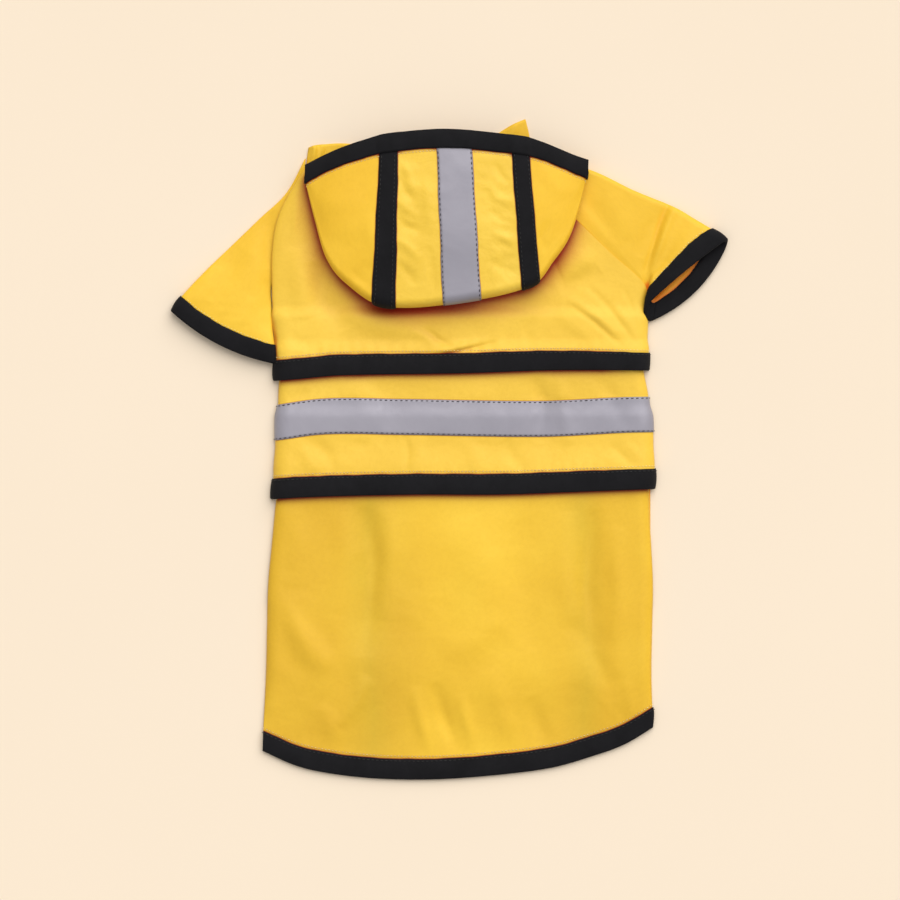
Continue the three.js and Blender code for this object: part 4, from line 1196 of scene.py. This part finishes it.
def split_node(tree, vector):
    node = tree.nodes.new("ShaderNodeSeparateXYZ")
    tree.links.new(vector, node.inputs["Vector"])
    return node.outputs


def painted_shade_node(tree, reach, place, limits):
    """Strength of the painted shade: from 0 in the open to 1 close under another layer, on upward
    faces only. Each limit in mm (axis, from, to, share at from, share at to) fades it along one axis."""
    nearby = tree.nodes.new("ShaderNodeAmbientOcclusion")
    nearby.samples = 16
    nearby.inputs["Distance"].default_value = reach
    closed = range_node(tree, nearby.outputs["AO"], 0.54, 0.91, 1.0, 0.0)
    facing = split_node(tree, tree.nodes.new("ShaderNodeTexCoord").outputs["Normal"])
    closed = math_node(tree, "MULTIPLY", closed, range_node(tree, facing["Z"], 0.3, 0.8, 0.0, 1.0))
    where = split_node(tree, place)
    for axis, low, high, first, last in limits:
        share = range_node(tree, where[axis], low * MM, high * MM, first, last)
        closed = math_node(tree, "MULTIPLY", closed, share)
    return closed


def painted_skirt_shade(tree, colour, place):
    """Painted shade on the skirt: darker, greyer bands near x = -46 and 75 mm, darker towards both sides.
    """
    drift = range_node(tree, noise_node(tree, place, 14, 2.0, 0.5), 0.3, 0.7, -4 * MM, 4 * MM)
    drifted = math_node(tree, "ADD", split_node(tree, place)["X"], drift)
    where = range_node(tree, drifted, -110 * MM, 115 * MM, 0.0, 1.0)
    painted_bands = ramp_node(
        tree, where, (0.00, (0.90, 0.87, 0.80)), (0.22, (0.93, 0.91, 0.86)), (0.285, (0.84, 0.875, 0.90)),
        (0.34, (0.92, 0.92, 0.92)), (0.43, (1, 1, 1)), (0.64, (1, 1, 1)), (0.76, (0.96, 0.95, 0.92)),
        (0.82, (0.86, 0.885, 0.88)), (0.88, (0.92, 0.89, 0.76)), (1.00, (0.92, 0.89, 0.76)),
    )
    node = tree.nodes.new("ShaderNodeMix")
    node.data_type, node.blend_type = "RGBA", "MULTIPLY"
    node.inputs["Factor"].default_value = 1.0
    tree.links.new(colour, node.inputs["A"])
    tree.links.new(painted_bands, node.inputs["B"])
    return node.outputs["Result"]


def ridges(tree, distance, pitch):
    """Rounded ridges from 0 to 1, one at every `pitch` in metres."""
    angle = math_node(tree, "MULTIPLY", distance, math.pi / pitch)
    return math_node(tree, "ABSOLUTE", math_node(tree, "SINE", angle))


# %% [markdown]
# ### Coated yellow cloth
# The shell is a fine plain weave with a soft coating. The weave only shows close up, and is two
# crossed sets of ridges. What shows from afar is a slightly uneven dye, small crumples from
# folding, and a broad soft gloss. The colour moves between a deeper and a lighter yellow, never in
# hard patches. Light that gets in under a layer of yellow cloth comes out orange, so shade is
# painted into the colour there: a node that feels how open the place is darkens the cloth towards
# orange-brown, and each piece says how far that painted shade reaches. The yoke and second tier
# get paler dyes. The hood's centre gets paler dyes and its sides deeper ones, as painted light and shade.

# %% Yellow shell cloth
WARP_PITCH, WEFT_PITCH = 0.36 * MM, 0.32 * MM
DEEPEST_PAINTED_SHADE = (0.40, 0.02, 0.0)              # deepest colour of the painted shade, close under another layer


def shell_cloth(name, dyes, crumpled, gloss, shade, through=False, limits=(), painted_shade_colour=DEEPEST_PAINTED_SHADE):
    """The coated cloth, with its deepest, usual and palest dye. `crumpled` is how strongly its
    small folds show, `shade` how far in mm its painted shade under a layer above reaches, the
    last argument that shade's deepest colour, and `through` whether it gets bands of painted shade."""
    material, tree, shader = new_material(name)
    across_cloth, down_cloth, place, flat_map = cloth_map(tree)
    warp, weft = ridges(tree, across_cloth, WARP_PITCH), ridges(tree, down_cloth, WEFT_PITCH)
    weave = math_node(tree, "MULTIPLY", warp, weft)
    slub = noise_node(tree, flat_map, 900, 2.0, 0.6)
    thick_yarn = noise_node(tree, flat_map, 380, 3.0, 0.7)
    crumple = noise_node(tree, place, 70, 3.0, 0.55, 0.5)
    ripple = noise_node(tree, place, 19, 2.0, 0.5, 0.8)
    dye = noise_node(tree, place, 11, 3.0, 0.6)
    colour = ramp_node(tree, dye, *zip((0.30, 0.52, 0.72), dyes))
    in_weave = range_node(tree, weave, 0.0, 0.9, 0.22, 0.0)
    colour = tint_node(tree, colour, in_weave, (0.80, 0.70, 0.55))
    in_yarn = range_node(tree, thick_yarn, 0.4, 0.7, 0.0, 0.30)
    colour = tint_node(tree, colour, in_yarn, (0.88, 0.84, 0.70))
    if through:
        colour = painted_skirt_shade(tree, colour, place)
    # Painted shade: close under another layer the colour is darkened towards its shade colour.
    colour = tint_node(tree, colour, painted_shade_node(tree, shade * MM, place, limits), painted_shade_colour)
    tree.links.new(colour, shader.inputs["Base Color"])
    dullness = range_node(tree, slub, 0.3, 0.7, gloss - 0.07, gloss + 0.07)
    tree.links.new(dullness, shader.inputs["Roughness"])
    normal = bump_node(tree, ripple, 2.2 * MM, 0.6)
    normal = bump_node(tree, facet_node(tree, place, 34), 1.1 * MM, 0.45 * crumpled, normal)
    normal = bump_node(tree, crumple, 0.7 * MM, 0.45 * crumpled, normal)
    normal = bump_node(tree, weave, 0.05 * MM, 0.45, normal)
    tree.links.new(normal, shader.inputs["Normal"])
    set_sockets(shader, {
        "Specular IOR Level": 0.34, "Sheen Weight": 0.10, "Sheen Roughness": 0.45,
        "Sheen Tint": (1.0, 0.86, 0.45, 1.0),
    })
    return material


# %% [markdown]
# ### Black edge tape, reflective tape and thread
# The edge tape is woven with fine ribs across it and has a dry, slightly dusty surface. The
# reflective tape is a grey film full of glass beads: fine grain, a dull metal gloss, faint marks
# from handling. A mirror would be too bright, since such film only shines back at a lamp beside
# the eye. Thread is dark on the tapes and yellow on the cloth.

# %% Tapes and threads
def edge_tape():
    material, tree, shader = new_material("black ribbed edge tape")
    along, over, place, flat_map = cloth_map(tree)
    ribs = ridges(tree, along, 0.62 * MM)
    cross = ridges(tree, over, 0.42 * MM)
    low_cross = math_node(tree, "ADD", math_node(tree, "MULTIPLY", cross, 0.35), 0.65)
    weave = math_node(tree, "MULTIPLY", ribs, low_cross)
    dust = noise_node(tree, place, 70, 4.0, 0.65)
    lint = noise_node(tree, flat_map, 1500, 3.0, 0.7)
    colour = ramp_node(tree, dust, (0.30, (0.0042, 0.0040, 0.0052)), (0.72, (0.0085, 0.0082, 0.0102)))
    raised = range_node(tree, math_node(tree, "MULTIPLY", weave, lint), 0.25, 0.75, 0.0, 0.4)
    colour = tint_node(tree, colour, raised, (0.022, 0.022, 0.026), "MIX")
    tree.links.new(colour, shader.inputs["Base Color"])
    tree.links.new(range_node(tree, lint, 0.3, 0.7, 0.70, 0.88), shader.inputs["Roughness"])
    normal = bump_node(tree, dust, 0.5 * MM, 0.3)
    normal = bump_node(tree, weave, 0.12 * MM, 0.8, normal)
    tree.links.new(normal, shader.inputs["Normal"])
    set_sockets(shader, {"Specular IOR Level": 0.16, "Sheen Weight": 0.02, "Sheen Roughness": 0.5})
    return material


def reflective_film():
    material, tree, shader = new_material("grey reflective film")
    along, over, place, flat_map = cloth_map(tree)
    beads = noise_node(tree, flat_map, 5200, 2.0, 0.75)
    handling = noise_node(tree, place, 26, 4.0, 0.6, 0.6)
    scuff = noise_node(tree, place, 150, 3.0, 0.6)
    colour = ramp_node(
        tree, handling,
        (0.28, (0.305, 0.293, 0.345)), (0.55, (0.345, 0.331, 0.386)), (0.80, (0.385, 0.371, 0.428)),
    )
    colour = tint_node(tree, colour, range_node(tree, beads, 0.35, 0.65, 0.0, 0.22), (0.72, 0.72, 0.74))
    tree.links.new(colour, shader.inputs["Base Color"])
    tree.links.new(range_node(tree, scuff, 0.3, 0.7, 0.42, 0.56), shader.inputs["Roughness"])
    normal = bump_node(tree, handling, 0.8 * MM, 0.3)
    normal = bump_node(tree, beads, 0.03 * MM, 0.5, normal)
    tree.links.new(normal, shader.inputs["Normal"])
    set_sockets(shader, {"Metallic": 0.15, "Specular IOR Level": 0.4})
    return material


def thread(name, dark, light):
    material, tree, shader = new_material(name)
    coordinates = tree.nodes.new("ShaderNodeTexCoord")
    twist = noise_node(tree, coordinates.outputs["Object"], 2600, 2.0, 0.6)
    tree.links.new(ramp_node(tree, twist, (0.3, dark), (0.7, light)), shader.inputs["Base Color"])
    tree.links.new(bump_node(tree, twist, 0.08 * MM, 0.5), shader.inputs["Normal"])
    set_sockets(shader, {"Roughness": 0.55})
    return material


# The skirt's cloth, with bands of painted shade across it.
SHELL = shell_cloth(
    "coated yellow cloth", ((0.83, 0.50, 0.026), (0.90, 0.565, 0.033), (0.95, 0.62, 0.044)),
    crumpled=0.8, gloss=0.52, shade=15, through=True,
)
# The painted shade on the yoke and second tier fades to a tenth from x = 84 to 100 mm.
PAINTED_SHADE_FADES_BY_THE_ARMPIT = (("X", 84, 100, 1.0, 0.1),)
PALE_SHELL = shell_cloth(
    "lighter yellow cloth", ((0.86, 0.545, 0.046), (0.93, 0.60, 0.058), (0.97, 0.65, 0.074)),
    crumpled=1.0, gloss=0.48, shade=22, limits=PAINTED_SHADE_FADES_BY_THE_ARMPIT,
)
# Crumpled cloth for the hood's centre, with paler dyes as painted light where it faces up.
CRUMPLED_PAINTED_LIGHT_SHELL = shell_cloth(
    "crumpled yellow cloth", ((0.82, 0.53, 0.040), (0.91, 0.60, 0.055), (0.97, 0.67, 0.084)),
    crumpled=2.2, gloss=0.42, shade=4,
)
# Deeper dyes for the hood's sides, as painted shade where they turn away from the light.
HOOD_SIDE_PAINTED_SHADE_SHELL = shell_cloth(
    "deeper yellow cloth", ((0.84, 0.49, 0.019), (0.90, 0.545, 0.026), (0.94, 0.59, 0.036)),
    crumpled=0.7, gloss=0.54, shade=4,
)
# Painted shade in orange-brown on low faces right of x = 100 to 104 mm, as inside the right cuff's slit.
PAINTED_SHADE_INSIDE_THE_RIGHT_SLEEVE = (("Z", 3.8, 4.6, 1.0, 0.0), ("X", 100, 104, 0.0, 1.0))
SLEEVE_SHELL = shell_cloth(
    "sleeve yellow cloth", ((0.87, 0.52, 0.026), (0.93, 0.575, 0.034), (0.96, 0.62, 0.046)),
    crumpled=0.8, gloss=0.52, shade=9, limits=PAINTED_SHADE_INSIDE_THE_RIGHT_SLEEVE, painted_shade_colour=(1.0, 0.42, 0.30),
)
OTHER_CLOTH = {
    "yoke_cloth": PALE_SHELL, "middle_tier_cloth": PALE_SHELL, "hood_centre_cloth": CRUMPLED_PAINTED_LIGHT_SHELL,
    "hood_side_left_cloth": HOOD_SIDE_PAINTED_SHADE_SHELL, "hood_side_right_cloth": HOOD_SIDE_PAINTED_SHADE_SHELL,
    "sleeve_left_cloth": SLEEVE_SHELL, "sleeve_right_cloth": SLEEVE_SHELL,
    "front_left_cloth": SLEEVE_SHELL, "front_right_cloth": SLEEVE_SHELL,
}
EDGE, FILM = edge_tape(), reflective_film()
GREY_THREAD = thread("grey thread", (0.030, 0.028, 0.034), (0.070, 0.066, 0.078))
YELLOW_THREAD = thread("yellow thread", (0.90, 0.70, 0.20), (0.97, 0.82, 0.36))
BLACK_THREAD = thread("black thread", (0.005, 0.005, 0.006), (0.013, 0.013, 0.015))
for name, (piece, slot, *_) in PIECES.items():
    shell = OTHER_CLOTH.get(name, SHELL)
    piece.data.materials.append({"shell": shell, "binding": EDGE, "reflective": FILM}[slot])
print("pieces with a finish:", len(PIECES))

# %% [markdown]
# ### Sewing the coat
# Grey dashes hold the reflective tape, black ones run along the edge tape and the bands, and a fine
# yellow row shows on the cloth just above each tape. One mesh for each thread is enough.

# %% The seams that show
def sleeve_line(side, inside):
    """A line on the upper layer only, a distance in mm from the cuff."""
    around = np.linspace(0.13, 0.49, 240)
    return lifted(cuff_inward(sleeve_at[side])(around, inside + 0 * LINE), CLOTH / 2 + 0.1)


def rim_line(inside):
    return lifted(rim_inward(np.linspace(0.01, 0.99, 240), inside + 0 * LINE), CLOTH / 2 + HALF_SUNK)


tiers = (yoke_at, middle_at, skirt_at)
ON_HOOD_TAPE, ON_BAND = 0.48 + REFLECTIVE / 2 + HALF_SUNK, 1.20           # mm above the hood's cloth
grey_lines = [tape_line(share) for share in (0.035, 0.965)]
grey_lines += [hood_line(TAPE_PLACE + k * 0.0338, ON_HOOD_TAPE) for k in (-1, 1)]
yellow_lines = [beside_tape(at, 11.9, CLOTH / 2 + 0.14) for at in tiers]
yellow_lines += [rim_line(11.0), sleeve_line("left", 10.0), sleeve_line("right", 10.0)]
black_lines = [beside_tape(at, 9.2, TAPE / 2 + 0.90) for at in tiers]
black_lines += [hood_line(BAND_LEFT + k * 0.0155, ON_BAND) for k in (-1, 1)]
black_lines += [hood_line(BAND_RIGHT + k * 0.0170, ON_BAND) for k in (-1, 1)]
sewn = [
    (sew("stitches_grey", grey_lines, GREY_THREAD, 2.8, 1.7, 0.55, 11), "reflective"),
    (sew("stitches_yellow", yellow_lines, YELLOW_THREAD, 1.9, 1.2, 0.42, 12), "shell"),
    (sew("stitches_black", black_lines, BLACK_THREAD, 2.5, 1.8, 0.40, 13), "binding"),
]

# %% [markdown]
# ## Riding on the body and naming the cuts
# The coat has no joint, so every piece rides on one body. Each cloth stands for its node of the
# frame, and each sheet states the flat size that shows: all the way round on the sleeves. The
# stitches stand for nothing in the frame, so they only ride along.

# %% What each piece stands for
STANDS_FOR = {
    "yoke_cloth": "yoke", "middle_tier_cloth": "middle_tier", "skirt_cloth": "skirt",
    "yoke_edge_tape": "yoke_binding", "middle_tier_edge_tape": "middle_tier_binding",
    "skirt_edge_tape": "hem_binding", "middle_tier_reflective_tape": "middle_tier_tape",
    "sleeve_left_cloth": "sleeve_left", "sleeve_right_cloth": "sleeve_right",
    "cuff_left_edge_tape": "cuff_left_binding", "cuff_right_edge_tape": "cuff_right_binding",
    "front_left_cloth": "front_left", "front_right_cloth": "front_right",
    "hood_side_left_cloth": "hood_side_left", "hood_centre_cloth": "hood_centre",
    "hood_side_right_cloth": "hood_side_right", "hood_band_left_tape": "hood_band_left",
    "hood_band_right_tape": "hood_band_right", "hood_reflective_tape": "hood_tape",
    "hood_rim_edge_tape": "hood_rim_binding",
}
for name, (piece, slot, flat, held, area) in PIECES.items():
    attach(piece, "root")
    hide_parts(STANDS_FOR[name])
for piece, slot in sewn:
    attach(piece, "root")
triangles = sum(len(f.vertices) - 2 for piece, _ in sewn for f in piece.data.polygons)
triangles += sum(4 * len(piece.data.polygons) for piece, *_ in PIECES.values())
print("triangles in all: about", triangles)

# %% [markdown]
# ## Floor, light and camera
# The floor is plain and pale. Light comes from a large soft lamp beyond the neck on the right and a
# much weaker one from the left, with a bright room all round, so shadows stay faint and soft.
# Lamps near the cloth would fall off across it, so both are far away. The camera looks straight
# down with a long lens, which keeps straight edges straight.

# %% Floor and light
def floor_paint():
    material, tree, shader = new_material("pale cream floor")
    coordinates = tree.nodes.new("ShaderNodeTexCoord")
    grain = noise_node(tree, coordinates.outputs["Object"], 6, 2.0, 0.5)
    colour = ramp_node(tree, grain, (0.2, (0.885, 0.757, 0.603)), (0.8, (0.90, 0.770, 0.615)))
    tree.links.new(colour, shader.inputs["Base Color"])
    set_sockets(shader, {"Roughness": 0.9, "Specular IOR Level": 0.1})
    return material


FLOOR_SIDE = 12.0         # metres, so that no edge shows from low down either
corners = [(x * FLOOR_SIDE / 2, y * FLOOR_SIDE / 2, 0) for x, y in ((-1, -1), (1, -1), (1, 1), (-1, 1))]
mesh = bpy.data.meshes.new("floor")
mesh.from_pydata(corners, [], [(0, 1, 2, 3)])
floor = bpy.data.objects.new("floor", mesh)
bpy.context.scene.collection.objects.link(floor)
floor.data.materials.append(floor_paint())


def soft_sun(name, place, spread, power, colour):
    """Even soft light from one side, as from a large lamp far away."""
    lamp = bpy.data.lights.new(name, "SUN")
    lamp.angle, lamp.energy, lamp.color = math.radians(spread), power, colour
    stand = bpy.data.objects.new(name, lamp)
    stand.location = place
    stand.rotation_mode = "QUATERNION"
    stand.rotation_quaternion = Vector([-q for q in place]).to_track_quat("-Z", "Y")
    bpy.context.scene.collection.objects.link(stand)
    return stand


soft_sun("large lamp", (0.42, 0.85, 1.0), 66, 2.62, (1.0, 0.985, 0.96))
soft_sun("small lamp", (-0.5, 0.0, 1.6), 60, 0.30, (1.0, 0.99, 0.97))
world = bpy.data.worlds.new("bright room")
world.use_nodes = True
room_light = {"Color": (1.0, 0.985, 0.96, 1.0), "Strength": 0.40}
set_sockets(world.node_tree.nodes["Background"], room_light)
bpy.context.scene.world = world
bpy.context.scene.view_settings.view_transform = "Standard"
bpy.context.scene.view_settings.look = "None"

# %% Camera
VIEW_WIDTH = 0.495        # metres across the picture, at the height of the cloth
LENS, SENSOR = 200.0, 36.0
CLOTH_HEIGHT = 0.006
camera = bpy.data.objects.new("camera", bpy.data.cameras.new("camera"))
camera.data.lens, camera.data.sensor_width = LENS, SENSOR
camera.location = (0, 0, CLOTH_HEIGHT + VIEW_WIDTH * LENS / SENSOR)
bpy.context.scene.collection.objects.link(camera)
bpy.context.scene.camera = camera
print("camera height:", round(camera.location.z, 3), "m")
